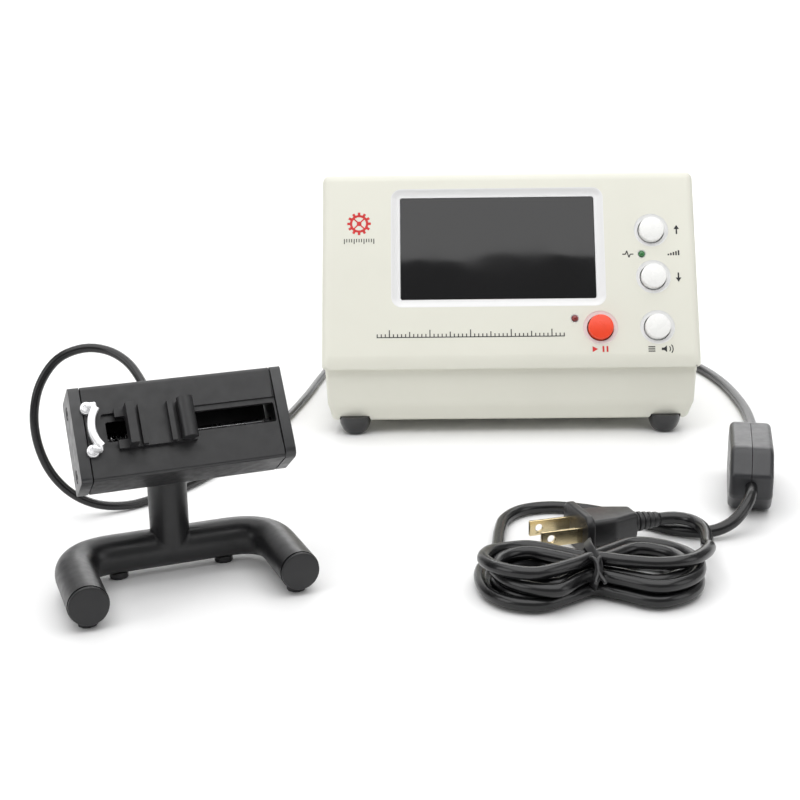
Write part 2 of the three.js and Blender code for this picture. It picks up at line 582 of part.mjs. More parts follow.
function makeHeadInsides(body) {
  const reach = HEAD.length / 2 - CAP + 1.6;
  part(body, "guide_rod", bar([-reach, 3, 0], [reach, 3, 0], 1.45, 8), steel);
  const turns = 4;
  const from = -HEAD.length / 2 + CAP + 0.8;
  const to = SLIDER.left + 8 - 0.8;
  const points = [];
  for (let i = 0; i <= turns * 8; i += 1) {
    const angle = (i * Math.PI) / 4;
    const x = from + ((to - from) * i) / (turns * 8);
    points.push([x, 3 + 2.9 * Math.cos(angle), 2.9 * Math.sin(angle)]);
  }
  part(body, "slider_spring", tubeAlong(points, 0.4, 5, turns * 8), steel);
  part(body, "piezo_disc", bar([-30.5, -4.6, -10.5], [-30.5, -3.2, -10.5], 4, 12), brass);
}

// ---- cable and mains lead -----------------------------------------------------------------

function makeCords(parent) {
  const pin = bar([SOCKET_X, 101, REAR_Z], [SOCKET_X, 112.4, REAR_Z], 3, 8);
  const grip = bar([SOCKET_X, 112, REAR_Z], [SOCKET_X, 132, REAR_Z], 5.2, 12);
  const boot = bar([SOCKET_X, 131.8, REAR_Z], [SOCKET_X, 143, REAR_Z], 4, 10, 2.6);
  part(parent, "microphone_plug", join(pin, grip, boot), blackRubber);
  part(parent, "microphone_cable", tubeAlong(CABLE_ROUTE, CABLE_RADIUS, 8, 52), leadJacket);
  part(parent, "mains_lead_upper", tubeAlong(LEAD_TO_SWITCH, LEAD_RADIUS, 8, 24), leadJacket);
  part(parent, "mains_lead_lower", tubeAlong(LEAD_TO_BUNDLE, LEAD_RADIUS, 8, 18), leadJacket);
  part(parent, "mains_lead_end", tubeAlong(LEAD_TO_PLUG, LEAD_RADIUS, 8, 8), leadJacket);
  makeBundle(parent);
  makeInlineSwitch(parent);
  makePlug(parent);
}

// The tied bundle is one solid of its outer shape: a long loop with round ends.
function makeBundle(parent) {
  const { length, width, height } = BUNDLE;
  const r = width / 2;
  const reach = length / 2 - r;
  const outline = new THREE.Shape();
  outline.absarc(reach, 0, r, -Math.PI / 2, Math.PI / 2, false);
  outline.absarc(-reach, 0, r, Math.PI / 2, (3 * Math.PI) / 2, false);
  outline.closePath();
  const solid = drawOut(outline, height - 2 * TABLE, 6).translate(0, 0, TABLE);
  const group = new THREE.Group();
  group.position.set(BUNDLE.x, BUNDLE.y, 0);
  group.rotation.z = BUNDLE.turn;
  parent.add(group);
  part(group, "mains_lead_bundle", solid, leadJacket);
}

// A rocker switch in the lead: two shells held by two screws, with the rocker on one face.
function makeInlineSwitch(parent) {
  const { length, height, depth } = SWITCH;
  const group = new THREE.Group();
  group.position.set(SWITCH.x, SWITCH.y, SWITCH.z);
  group.rotation.z = SWITCH.turn;
  parent.add(group);
  const outline = roundedOutline(
    [
      [-length / 2, -5], [-length / 3, -height / 2], [length / 3, -height / 2], [length / 2, -5],
      [length / 2, 5], [length / 3, height / 2], [-length / 3, height / 2], [-length / 2, 5],
    ],
    [2, 6, 6, 2, 2, 6, 6, 2],
  );
  const shell = (y0, y1) => drawOut(outline, y1 - y0, 3).rotateX(Math.PI / 2).translate(0, y1, 0);
  const leadWay = bar([-40, 0, 0], [40, 0, 0], LEAD_RADIUS + 0.35, 10);
  const cavity = block([-length / 4, -depth / 2 + 2, -8], [length / 4, depth / 2 - 2, 8]);
  const rockerHole = block([-7.6, 4, -4.6], [7.6, 12, 4.6]);
  const screwHoles = [-1, 1].map((s) => bar([s * 18, -12, s * 5], [s * 18, 7, s * 5], 1.3, 8));
  const sinks = [-1, 1].map((s) => bar([s * 18, -12, s * 5], [s * 18, -depth / 2 + 2.4, s * 5], 2.4, 10));
  const back = cut(shell(-depth / 2, -GAP / 2), leadWay, cavity, ...screwHoles, ...sinks);
  const front = cut(shell(GAP / 2, depth / 2), leadWay, cavity, rockerHole, ...screwHoles);
  part(group, "switch_shell_back", back, leadJacket);
  part(group, "switch_shell_front", front, leadJacket);
  const drum = bar([0, 1.2, -4.2], [0, 1.2, 4.2], 8.6, 20);
  const rocker = toSolid(drum).intersect(toSolid(block([-6.8, 4.7, -4.2], [6.8, 9.8, 4.2])));
  const tipped = toGeometry(rocker).translate(0, -1.2, 0).rotateZ(ROCKER_TIP).translate(0, 1.2, 0);
  part(group, "switch_rocker", tipped, blackRubber);
  [-1, 1].forEach((s, i) => {
    const head = bar([s * 18, -depth / 2 + 0.6, s * 5], [s * 18, -depth / 2 + 2.1, s * 5], 2, 10);
    const shank = bar([s * 18, -depth / 2 + 2, s * 5], [s * 18, 5, s * 5], 0.9, 6);
    part(group, `switch_screw_${i + 1}`, join(head, shank), steel);
  });
}

// A two-blade mains plug. Its lead enters at the group's origin, and the blades point along +X.
function makePlug(parent) {
  const group = new THREE.Group();
  group.position.set(PLUG.x, PLUG.y, PLUG.z);
  group.rotation.z = PLUG.turn;
  parent.add(group);
  const relief = bar([0.3, 0, 0], [13, 0, 0], 3.1, 12, 4.4);
  const grooves = [3, 6, 9].map((x) =>
    cut(bar([x, 0, 0], [x + 1.2, 0, 0], 7, 8), bar([x - 1, 0, 0], [x + 3, 0, 0], 2.9, 8)),
  );
  const outline = roundedOutline(
    [[12, -6.5], [30, -8.5], [34, -8.5], [34, 8.5], [30, 8.5], [12, 6.5]],
    [2, 2, 0.5, 0.5, 2, 2],
  );
  const grip = drawOut(outline, 11, 2).translate(0, 0, -5.5);
  const flange = plate(17, 25, 4, 0, 3.4).rotateZ(-Math.PI / 2).rotateX(Math.PI / 2).translate(33, 0, 0);
  const slots = [-1, 1].map((s) => block([32, s * 6.35 - 1, -3.5], [38, s * 6.35 + 1, 3.5]));
  part(group, "plug_body", cut(join(cut(relief, ...grooves), grip, flange), ...slots), leadJacket);
  for (const [s, name] of [[-1, "near"], [1, "far"]]) {
    const blade = block([32.4, s * 6.35 - 0.7, -3.15], [53.5, s * 6.35 + 0.7, 3.15]);
    const hole = bar([49.5, s * 6.35 - 2, 0], [49.5, s * 6.35 + 2, 0], 1.6, 10);
    part(group, `plug_blade_${name}`, cut(blade, hole), brass);
  }
}

// ---- assembly -----------------------------------------------------------------------------

const timegrapher = new THREE.Group();
const layout = new THREE.Group();
timegrapher.add(layout);
const consoleGroup = new THREE.Group();
const stand = new THREE.Group();
stand.position.set(STAND.x, STAND.y, 0);
stand.rotation.z = STAND.turn;
layout.add(consoleGroup, stand);

makeCover(consoleGroup);
makeBase(consoleGroup);
makeFeet(consoleGroup);
makeScrews(consoleGroup);
makeFrontPanelPieces(consoleGroup);
makeInsides(consoleGroup);
makeRearFittings(consoleGroup);
makeStandBase(stand);
makeKnuckle(stand);
makeHead(stand);

// The origin is the middle of the footprint, without the cords and what is on them.
timegrapher.updateMatrixWorld(true);
const footprint = new THREE.Box3().setFromObject(layout, true);
makeCords(layout);
const middle = footprint.getCenter(new THREE.Vector3());
layout.position.set(-middle.x, -middle.y, 0);

export default timegrapher;
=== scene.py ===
import math

import bmesh
import bpy
from mathutils import Matrix, Vector
from mathutils.noise import noise


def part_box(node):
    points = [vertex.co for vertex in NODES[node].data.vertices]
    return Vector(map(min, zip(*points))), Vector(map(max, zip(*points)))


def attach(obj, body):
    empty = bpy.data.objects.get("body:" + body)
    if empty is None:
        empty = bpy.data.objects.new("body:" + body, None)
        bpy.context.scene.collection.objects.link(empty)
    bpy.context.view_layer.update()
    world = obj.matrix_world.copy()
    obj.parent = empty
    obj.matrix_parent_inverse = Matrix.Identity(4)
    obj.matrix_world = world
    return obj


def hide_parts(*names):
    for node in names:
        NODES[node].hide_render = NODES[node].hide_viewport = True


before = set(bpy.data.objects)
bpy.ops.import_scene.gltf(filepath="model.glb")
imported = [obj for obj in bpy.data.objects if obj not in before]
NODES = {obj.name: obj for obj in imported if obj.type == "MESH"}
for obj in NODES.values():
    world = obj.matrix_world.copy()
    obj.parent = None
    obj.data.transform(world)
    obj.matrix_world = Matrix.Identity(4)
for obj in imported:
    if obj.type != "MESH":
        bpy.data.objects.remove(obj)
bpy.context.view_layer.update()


# ---- where things are ---------------------------------------------------------------------------
# Local frames are in millimetres. x = 0 is the case's middle, y = 0 the panel's lower front edge.

MM = 0.001
PLINTH_SETBACK = 3.5  # how far the plinth's front stands behind the panel's lower edge
base_low, base_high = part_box("case_base")
ORIGIN = Vector(((base_low.x + base_high.x) / 2, base_low.y - PLINTH_SETBACK * MM, 0))
PANEL_TILT = math.atan2(45, 88)  # the panel goes back 45 mm over a rise of 88 mm

PANEL_FOOT = 39  # height of the panel's lower edge
PANEL_TOP_Y = 45.26  # how far back its upper edge lies
ROOF_FRONT, ROOF_REAR = 127.5, 120
HALF_WIDTH, DEPTH = 95, 110
SEAM = 35.5  # where the cover meets the plinth
REAR_FITTING_X, REAR_FITTING_Z = 76, 22  # the lead on the right, the cable on the left
LEG_X, TUBE_Z, TUBE_RADIUS = 38.6, 9.5, 7.5


def at(x, y, z, turn=0):
    spot = ORIGIN + Vector((x, y, z)) * MM
    return Matrix.Translation(spot) @ Matrix.Rotation(math.radians(turn), 4, "Z")


def moved(base, x, y, z):
    return base @ Matrix.Translation(Vector((x, y, z)) * MM)


def turned(base, degrees, axis):
    return base @ Matrix.Rotation(math.radians(degrees), 4, axis)


CASE_FRAME = at(0, 0, 0)
PANEL_FRAME = at(0, 0, PANEL_FOOT) @ Matrix.Rotation(-PANEL_TILT, 4, "X")
STAND_FRAME = at(-142.7, -165.4, 0, 22.5)
PIVOT_FRAME = moved(STAND_FRAME, 0, 3, 48)
HEAD_FRAME = moved(turned(PIVOT_FRAME, -33, "X"), 3.9, -18.25, 1.3)
SWITCH_FRAME = at(98.9, -88, 14.2, -102)
BUNDLE_FRAME = at(17, -187, 0, 4)
PLUG_FRAME = at(50.5, -138.6, 8.6, 197)

# ---- camera -------------------------------------------------------------------------------------

CAMERA_SPOT = (-45.04, -648.57, 205.54)
LENS = 60.35
PAN, DOWN, ROLL = math.radians(-0.95), math.radians(15.97), math.radians(-0.77)
forward = Vector((math.sin(PAN) * math.cos(DOWN), math.cos(PAN) * math.cos(DOWN), -math.sin(DOWN)))
level = Vector((math.cos(PAN), -math.sin(PAN), 0))
upright = level.cross(forward)
right = level * math.cos(ROLL) + upright * math.sin(ROLL)
up = upright * math.cos(ROLL) - level * math.sin(ROLL)

camera = bpy.data.objects.new("camera", bpy.data.cameras.new("camera"))
bpy.context.scene.collection.objects.link(camera)
camera.data.sensor_width = 36
camera.data.lens = LENS
camera.data.clip_start = 0.01
camera.data.clip_end = 50
camera_turn = Matrix((right, up, -forward)).transposed().to_4x4()
camera.matrix_world = Matrix.Translation(at(*CAMERA_SPOT).translation) @ camera_turn
bpy.context.scene.camera = camera

# ---- cords --------------------------------------------------------------------------------------

LINE_STEP = 0.0025  # metres between two points of a cord's line


def smooth_line(points, step):
    """A centripetal Catmull-Rom line through the points, sampled every step."""
    p = [Vector(q) for q in points]
    p = [2 * p[0] - p[1]] + p + [2 * p[-1] - p[-2]]
    line = []
    for a, b, c, d in zip(p, p[1:], p[2:], p[3:]):
        t1 = (b - a).length ** 0.5
        t2 = t1 + (c - b).length ** 0.5
        t3 = t2 + (d - c).length ** 0.5
        count = max(2, round((c - b).length / step))
        for i in range(count):
            t = t1 + (t2 - t1) * i / count
            ab = a.lerp(b, t / t1)
            bc = b.lerp(c, (t - t1) / (t2 - t1))
            cd = c.lerp(d, (t - t2) / (t3 - t2))
            early, late = ab.lerp(bc, t / t2), bc.lerp(cd, (t - t1) / (t3 - t1))
            line.append(early.lerp(late, (t - t1) / (t2 - t1)))
    line.append(p[-2])
    return line


def cord_curve(name, line, diameter):
    """A round cord along a line. Its points carry the radius, so that its bounds are true."""
    curve = bpy.data.curves.new(name, "CURVE")
    curve.dimensions = "3D"
    curve.bevel_depth = 1
    curve.bevel_resolution = 5
    curve.use_fill_caps = True
    spline = curve.splines.new("POLY")
    spline.points.add(len(line) - 1)
    for point, place in zip(spline.points, line):
        point.co = (*place, 1)
        point.radius = diameter / 2
    spline.use_smooth = True
    obj = bpy.data.objects.new(name, curve)
    bpy.context.scene.collection.objects.link(obj)
    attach(obj, "root")
    length = sum((b - a).length for a, b in zip(line, line[1:]))
    return obj, length


def routed(base, points):
    return [base @ (Vector(p) * MM) for p in points]


CABLE_ROUTE = [
    (-147.5, -149.8, 38.7), (-149.9, -140.8, 45.7), (-154, -129.5, 54.5), (-160, -118.5, 63),
    (-167.5, -110.5, 69.5), (-176.5, -105.8, 73), (-186.5, -104.5, 73.5), (-197, -106, 69.5),
    (-204.5, -109, 59.5), (-207.5, -111.5, 47), (-206.5, -113, 34), (-202, -113, 21.5),
    (-194.5, -111, 11.5), (-185, -107, 5), (-174, -101, 2.2), (-162, -90, 2), (-151, -74, 2),
    (-141, -53, 2), (-132, -28, 2), (-124, 0, 2), (-117, 28, 2), (-112, 56, 2), (-108, 82, 2),
    (-105, 106, 2), (-101, 131, 2.4), (-95, 149, 4.5), (-86.5, 161, 9.5), (-79.5, 162, 15.8),
    (-76.4, 154.5, 20.6), (-76, 143.3, 22),
]
LEAD_TO_SWITCH = [
    (76, 135.3, 22), (76.5, 143, 20.5), (79, 151, 15.5), (85, 157, 9.5), (94, 158, 4.5),
    (104, 152.5, 2.7), (113, 141, 2.6), (120, 125, 2.6), (124.5, 105, 2.6), (127, 82, 2.6),
    (127.5, 58, 2.6), (126.5, 34, 2.6), (123.5, 10, 2.6), (119, -12, 3.2), (114.2, -30, 6.5),
    (109.6, -44, 11.5), (107, -51, 13.4), (105.4, -57.4, 14.2),
]
LEAD_THROUGH_SWITCH = [(102.5, -71, 14.2), (95.4, -104.6, 14.2)]
LEAD_TO_BUNDLE = [
    (92.4, -118.6, 14.2), (90.6, -125, 13.4), (87, -131.5, 10.5), (80.5, -137, 6),
    (72, -139.5, 3.4), (62, -137, 2.6), (50, -129, 2.6), (37, -119, 2.6), (23, -111, 2.6),
    (9, -108, 2.6), (-3, -112, 2.6), (-10.5, -122, 2.6), (-13.5, -136, 2.6), (-15, -150, 2.6),
    (-17, -164.2, 2.8),
]
LEAD_TO_PLUG = [
    (63.8, -169, 9.4), (65.5, -160.5, 8.6), (66.4, -153, 8.6), (65.8, -146, 8.6),
    (62.6, -140.2, 8.7), (57, -137.6, 8.7), (50.8, -138.5, 8.6),
]

# The bundle's turns. A pass under the tie is its place (y, z): in front it runs to the right, and
# behind to the left. A right end loop is (how far out it reaches, half its width), and a left one
# is (how far out it reaches, its half width behind, its half width in front).
FRONT_PASSES = [(-8.4, 3.5), (-2.9, 3.5), (-2.8, 8.8), (-8.2, 8.9), (-5.2, 14.2)]
BACK_PASSES = [(8.2, 3.5), (2.8, 3.5), (2.9, 8.8), (8.3, 8.9)]
RIGHT_LOOPS = [(40.2, 21.0), (34.6, 15.6), (35.4, 15.4), (40.4, 20.6)]
LEFT_LOOPS = [(34.8, 20.6, 15.2), (29.3, 15.0, 15.4), (35.6, 15.4, 20.9), (39.6, 20.6, 17.4)]
BUNDLE_START = [
    (-38.6, 14, 3.4), (-40.4, 2, 3.4), (-38.2, -10, 3.4), (-31.5, -17.8, 3.4), (-22, -20.4, 3.4),
    (-11, -15, 3.5),
]
BUNDLE_END = [
    (11, -9.2, 14.2), (23, -12.5, 14.2), (34, -10.5, 14.2), (42, -2.5, 13.6), (46.5, 7, 11.8),
]
# An end loop's points: the angle, and the share of the loop done there.
LOOP_STEPS = [(88, 0), (62, 0.1), (34, 0.35), (6, 0.6), (-6, 0.7), (-34, 0.9), (-62, 1), (-88, 1)]
TIP_SHARE = 0.6


def end_loop(side, reach, back, front, z0, z1, z2):
    """Points round one end, from behind to in front: z0 behind, z1 at the tip, z2 in front."""
    points = []
    for degrees, share in LOOP_STEPS:
        a = math.radians(degrees)
        half = back if degrees > 0 else front
        if share <= TIP_SHARE:
            height = z0 + (z1 - z0) * share / TIP_SHARE
        else:
            height = z1 + (z2 - z1) * (share - TIP_SHARE) / (1 - TIP_SHARE)
        points.append((side * (reach - half + half * math.cos(a)), half * math.sin(a), height))
    return points


def bundle_points():
    """All the turns in order: in front to the right, round, behind to the left, and round."""
    points = BUNDLE_START + [(0, *FRONT_PASSES[0])]
    for i, (back_y, back_z) in enumerate(BACK_PASSES):
        y, z = FRONT_PASSES[i]
        reach, half = RIGHT_LOOPS[i]
        points.append((9, (y - half) / 2 + 1, z))
        points += end_loop(1, reach, half, half, back_z, back_z, z)[::-1]
        points += [(9, (back_y + half) / 2 - 1, back_z), (0, back_y, back_z)]
        next_y, next_z = FRONT_PASSES[i + 1]
        reach, back, front = LEFT_LOOPS[i]
        tip = back_z + (next_z - back_z) * (0.75 if i == 3 else 0.5)
        points.append((-8, (back_y + back) / 2 - 1, back_z))
        points += end_loop(-1, reach, back, front, back_z, tip, next_z)
        points += [(-8, (next_y - front) / 2 + 1, next_z), (0, next_y, next_z)]
    return points + BUNDLE_END


microphone_cable, cable_length = cord_curve(
    "microphone_cable_line", smooth_line(routed(CASE_FRAME, CABLE_ROUTE), LINE_STEP), 0.0038)
lead_line = smooth_line(
    routed(CASE_FRAME, LEAD_TO_SWITCH + LEAD_THROUGH_SWITCH + LEAD_TO_BUNDLE)
    + routed(BUNDLE_FRAME, bundle_points()) + routed(CASE_FRAME, LEAD_TO_PLUG), LINE_STEP)
mains_lead, lead_length = cord_curve("mains_lead_line", lead_line, 0.005)
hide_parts("microphone_cable")
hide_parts("mains_lead_upper", "mains_lead_lower", "mains_lead_end",
            "mains_lead_bundle")

# ---- materials ----------------------------------------------------------------------------------


def new_material(name, colour, rough, metal=0.0, patch=0.06, patch_scale=60, rough_vary=0.05,
                 rough_scale=300, grain=2500, bump=0.05, depth=0.00004, stretch=(1, 1, 1),
                 coat=0.0, specular=0.5):
    """A moulded or metal surface: cloudy colour, uneven gloss and a fine grain."""
    material = bpy.data.materials.new(name)
    material.use_nodes = True
    nodes, links = material.node_tree.nodes, material.node_tree.links
    shader = nodes["Principled BSDF"]
    shader.inputs["Metallic"].default_value = metal
    shader.inputs["Coat Weight"].default_value = coat
    shader.inputs["Coat Roughness"].default_value = 0.1
    shader.inputs["Specular IOR Level"].default_value = specular
    place = nodes.new("ShaderNodeTexCoord")
    mapping = nodes.new("ShaderNodeMapping")
    mapping.inputs["Scale"].default_value = stretch
    links.new(place.outputs["Object"], mapping.inputs["Vector"])

    def clouds(scale, detail):
        node = nodes.new("ShaderNodeTexNoise")
        node.inputs["Scale"].default_value = scale
        node.inputs["Detail"].default_value = detail
        links.new(mapping.outputs["Vector"], node.inputs["Vector"])
        return node.outputs["Fac"]

    ramp = nodes.new("ShaderNodeValToRGB")
    ramp.color_ramp.elements[0].position = 0.3
    ramp.color_ramp.elements[1].position = 0.7
    ramp.color_ramp.elements[0].color = (*[c * (1 - patch) for c in colour], 1)
    ramp.color_ramp.elements[1].color = (*[min(1, c * (1 + patch)) for c in colour], 1)
    links.new(clouds(patch_scale, 4), ramp.inputs["Fac"])
    links.new(ramp.outputs["Color"], shader.inputs["Base Color"])
    gloss = nodes.new("ShaderNodeMapRange")
    gloss.inputs["From Min"].default_value = 0.3
    gloss.inputs["From Max"].default_value = 0.7
    gloss.inputs["To Min"].default_value = max(0.02, rough - rough_vary)
    gloss.inputs["To Max"].default_value = rough + rough_vary
    links.new(clouds(rough_scale, 3), gloss.inputs["Value"])
    links.new(gloss.outputs["Result"], shader.inputs["Roughness"])
    relief = nodes.new("ShaderNodeBump")
    relief.inputs["Strength"].default_value = bump
    relief.inputs["Distance"].default_value = depth
    links.new(clouds(grain, 2), relief.inputs["Height"])
    links.new(relief.outputs["Normal"], shader.inputs["Normal"])
    return material


IVORY = new_material("ivory_moulding", (0.735, 0.73, 0.645), 0.36, patch=0.012, patch_scale=25,
                     grain=1800, bump=0.22, depth=0.00003)
RUBBER = new_material("black_rubber", (0.014, 0.014, 0.015), 0.42, patch=0.25, patch_scale=120,
                      grain=3500, bump=0.25, rough_vary=0.08)
GLOSSY_RUBBER = new_material("foot_rubber", (0.012, 0.012, 0.013), 0.18, patch=0.2,
                             patch_scale=150, bump=0.08, coat=0.3)
PAINT = new_material("satin_black_paint", (0.0085, 0.0085, 0.0095), 0.36, patch=0.15,
                     patch_scale=90, grain=900, bump=0.16, depth=0.00008, rough_vary=0.06)
ANODISED = new_material("black_anodised", (0.011, 0.011, 0.012), 0.42, patch=0.18,
                        patch_scale=200, grain=3000, bump=0.35, depth=0.00002, rough_vary=0.07,
                        specular=0.6)
CAP_BLACK = new_material("cap_anodised", (0.016, 0.0165, 0.018), 0.36, patch=0.2, patch_scale=180,
                         grain=3200, bump=0.4, depth=0.00002, rough_vary=0.08, specular=0.7)
WINDOW = new_material("tinted_window", (0.0045, 0.0045, 0.005), 0.04, patch=0.1, rough_vary=0.015,
                      grain=14, bump=0.30, depth=0.0011, rough_scale=40)
WHITE_CAP = new_material("white_button", (0.86, 0.86, 0.84), 0.28, patch=0.01, bump=0.08)
RED_CAP = new_material("red_button", (0.86, 0.062, 0.018), 0.30, patch=0.05, patch_scale=200,
                       bump=0.08)
GREEN_LAMP = new_material("green_lamp", (0.02, 0.16, 0.035), 0.14, patch=0.2, patch_scale=500,
                          coat=0.5)
RED_LAMP = new_material("red_lamp", (0.20, 0.008, 0.008), 0.14, patch=0.2, patch_scale=500,
                        coat=0.5)
STEEL = new_material("bright_steel", (0.62, 0.62, 0.63), 0.27, metal=1.0, patch_scale=400,
                     bump=0.15, depth=0.00002, stretch=(1, 1, 0.2))
CHROME = new_material("polished_contact", (0.93, 0.93, 0.94), 0.22, metal=0.55, patch=0.03,
                      patch_scale=600, bump=0.06, coat=0.4)
BRASS = new_material("plug_brass", (0.86, 0.72, 0.44), 0.22, metal=1.0, patch=0.10,
                     patch_scale=350, grain=2600, bump=0.2, depth=0.00002, stretch=(0.15, 1, 1))
JACKET = new_material("cord_jacket", (0.006, 0.006, 0.0065), 0.24, patch=0.15, patch_scale=150,
                      grain=900, depth=0.00003, rough_vary=0.03, rough_scale=80)
MOULDED = new_material("black_moulding", (0.014, 0.014, 0.015), 0.33, patch=0.15,
                       patch_scale=160, grain=2800, bump=0.3, depth=0.00003, rough_vary=0.06)
SWITCH_GREY = new_material("switch_moulding", (0.024, 0.0245, 0.027), 0.34, patch=0.12,
                           patch_scale=140, grain=2800, bump=0.35, depth=0.00003)
BOARD_GREEN = new_material("solder_mask", (0.02, 0.12, 0.045), 0.35, patch=0.3, patch_scale=300)
GREY_TIN = new_material("grey_tin", (0.30, 0.31, 0.32), 0.4, metal=0.8, patch=0.1)
INK_BLACK = new_material("black_print", (0.012, 0.012, 0.014), 0.45, patch=0.1, patch_scale=500)
INK_RED = new_material("red_print", (0.62, 0.02, 0.02), 0.45, patch=0.1, patch_scale=500)

CAD_FINISH = {
    "screen_window": WINDOW, "display_module": GREY_TIN, "button_board": BOARD_GREEN,
    "main_board": BOARD_GREEN, "mains_transformer": GREY_TIN, "speaker": MOULDED,
    "guide_rod": STEEL, "tilt_pin": STEEL, "piezo_disc": BRASS, "end_cap_left": CAP_BLACK,
    "end_cap_right": CAP_BLACK,
    "clamp_slider": ANODISED, "swivel_knuckle": ANODISED, "switch_rocker": MOULDED,
    "plug_blade_near": BRASS, "plug_blade_far": BRASS,
    **{f"case_screw_{i}": STEEL for i in (1, 2, 3, 4)},
    **{f"switch_screw_{i}": STEEL for i in (1, 2)},
    **{f"cap_screw_{side}_{i}": PAINT for side in ("left", "right") for i in (1, 2)},
    **{f"stand_pad_{end}_{side}": RUBBER
       for end in ("front", "rear") for side in ("left", "right")},
}


def smooth_group(degrees):
    """A modifier that shades a mesh smooth and keeps edges sharper than the angle."""
    group = bpy.data.node_groups.new(f"smooth_{degrees}", "GeometryNodeTree")
    group.interface.new_socket("Geometry", in_out="INPUT", socket_type="NodeSocketGeometry")
    group.interface.new_socket("Geometry", in_out="OUTPUT", socket_type="NodeSocketGeometry")
    start, end = group.nodes.new("NodeGroupInput"), group.nodes.new("NodeGroupOutput")
    faces, edges = (group.nodes.new("GeometryNodeSetShadeSmooth") for _ in range(2))
    edges.domain = "EDGE"
    angle = group.nodes.new("GeometryNodeInputMeshEdgeAngle")
    below = group.nodes.new("FunctionNodeCompare")
    below.operation = "LESS_THAN"
    below.inputs["B"].default_value = math.radians(degrees)
    group.links.new(start.outputs[0], faces.inputs["Geometry"])
    group.links.new(faces.outputs["Geometry"], edges.inputs["Geometry"])
    group.links.new(angle.outputs["Unsigned Angle"], below.inputs["A"])
    group.links.new(below.outputs["Result"], edges.inputs["Shade Smooth"])
    group.links.new(edges.outputs["Geometry"], end.inputs[0])
    return group


EDGE_ANGLE = 38  # degrees: a sharper edge of a CAD node is bevelled and kept
SMOOTH = smooth_group(EDGE_ANGLE)
USUAL_BEVEL = 0.15
BEVELS = {"screen_window": 0.25, "clamp_slider": 0.35, "end_cap_left": 0.3, "end_cap_right": 0.3,
          "plug_blade_near": 0.25, "plug_blade_far": 0.25}


def refine(obj, width):
    """Gives a CAD node smooth shading and small bevels, width in millimetres."""
    weld = obj.modifiers.new("weld", "WELD")
    weld.merge_threshold = 0.00001
    shade = obj.modifiers.new("shade", "NODES")
    shade.node_group = SMOOTH
    bevel = obj.modifiers.new("bevel", "BEVEL")
    bevel.width = width * MM
    bevel.segments = 3
    bevel.limit_method = "ANGLE"
    bevel.angle_limit = math.radians(EDGE_ANGLE)
    bevel.harden_normals = True


for node_name, finish_material in CAD_FINISH.items():
    node = NODES[node_name]
    node.data.materials.clear()
    node.data.materials.append(finish_material)
    refine(node, BEVELS.get(node_name, USUAL_BEVEL))

# ---- mesh tools (millimetres in a local frame) --------------------------------------------------


def piece(name, bm, base, material, body, replaces=(), angle=35):
    """Puts a mesh made in millimetres into the row frame, and on its body if it rides on one."""
    bm.normal_update()
    bmesh.ops.recalc_face_normals(bm, faces=bm.faces)
    bm.transform(base @ Matrix.Scale(MM, 4))
    mesh = bpy.data.meshes.new(name)
    bm.to_mesh(mesh)
    bm.free()
    mesh.shade_smooth()
    mesh.set_sharp_from_angle(angle=math.radians(angle))
    mesh.materials.append(material)
    obj = bpy.data.objects.new(name, mesh)
    bpy.context.scene.collection.objects.link(obj)
    if body:
        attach(obj, body)
        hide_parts(*replaces)
    return obj


def arc_corner(before, here, after, radius, steps):
    """Points that round the corner at here, or here alone where the line runs straight on."""
    a, b = (before - here).normalized(), (after - here).normalized()
    if not a.length or not b.length or abs(a.dot(b)) > 0.9999:
        return [here]
    half = a.angle(b) / 2
    room = min((before - here).length, (after - here).length) * 0.49
    reach = min(radius / math.tan(half), room)
    start, end = here + a * reach, here + b * reach
    centre = here + (a + b).normalized() * reach / math.cos(half)
    size = (start - centre).length
    return [centre + (start - centre).slerp(end - centre, i / steps) * size
            for i in range(steps + 1)]


def rounded(corners, radius, steps=6, closed=True):
    """A polyline with its corners rounded. radius is one number or one for each corner."""
    p = [Vector(c) for c in corners]
    radii = radius if hasattr(radius, "__len__") else [radius] * len(p)
    out = []
    for i, here in enumerate(p):
        end = not closed and i in (0, len(p) - 1)
        if end or radii[i] <= 0:
            out.append(here)
        else:
            out += arc_corner(p[i - 1], here, p[(i + 1) % len(p)], radii[i], steps)
    return [tuple(v) for v in out]


def profile(points, steps):
    """A rounded open line for lathe, from (radius, height, rounding) points."""
    sizes = [size for _, _, size in points]
    return rounded([(r, z) for r, z, _ in points], sizes, steps, closed=False)


def ribs(count, pitch, size, crest, valley, heights):
    """Points for profile that make rings along a sleeve. crest and valley are (radius of the first
    ring, how much each next one adds), and heights are where the first crest starts and ends and
    where the groove after it does."""
    points = []
    for i in range(count):
        for (radius, growth), height in zip((crest, crest, valley, valley), heights):
            points.append((radius + i * growth, height + i * pitch, size))
    return points


def lathe(outline, sides=48, bm=None, base=None):
    """Turns (radius, height) points about local Z."""
    bm = bm or bmesh.new()
    base = base or Matrix.Identity(4)
    rings = []
    for radius, height in outline:
        if radius < 1e-6:
            rings.append([bm.verts.new(base @ Vector((0, 0, height)))])
        else:
            rings.append([bm.verts.new(base @ Vector((x, y, height)))
                          for x, y in circle(radius, sides)])
    for low, high in zip(rings, rings[1:]):
        for i in range(sides):
            j = (i + 1) % sides
            if len(low) == 1 and len(high) > 1:
                bm.faces.new((low[0], high[j], high[i]))
            elif len(high) == 1 and len(low) > 1:
                bm.faces.new((low[i], low[j], high[0]))
            elif len(low) > 1:
                bm.faces.new((low[i], low[j], high[j], high[i]))
    return bm


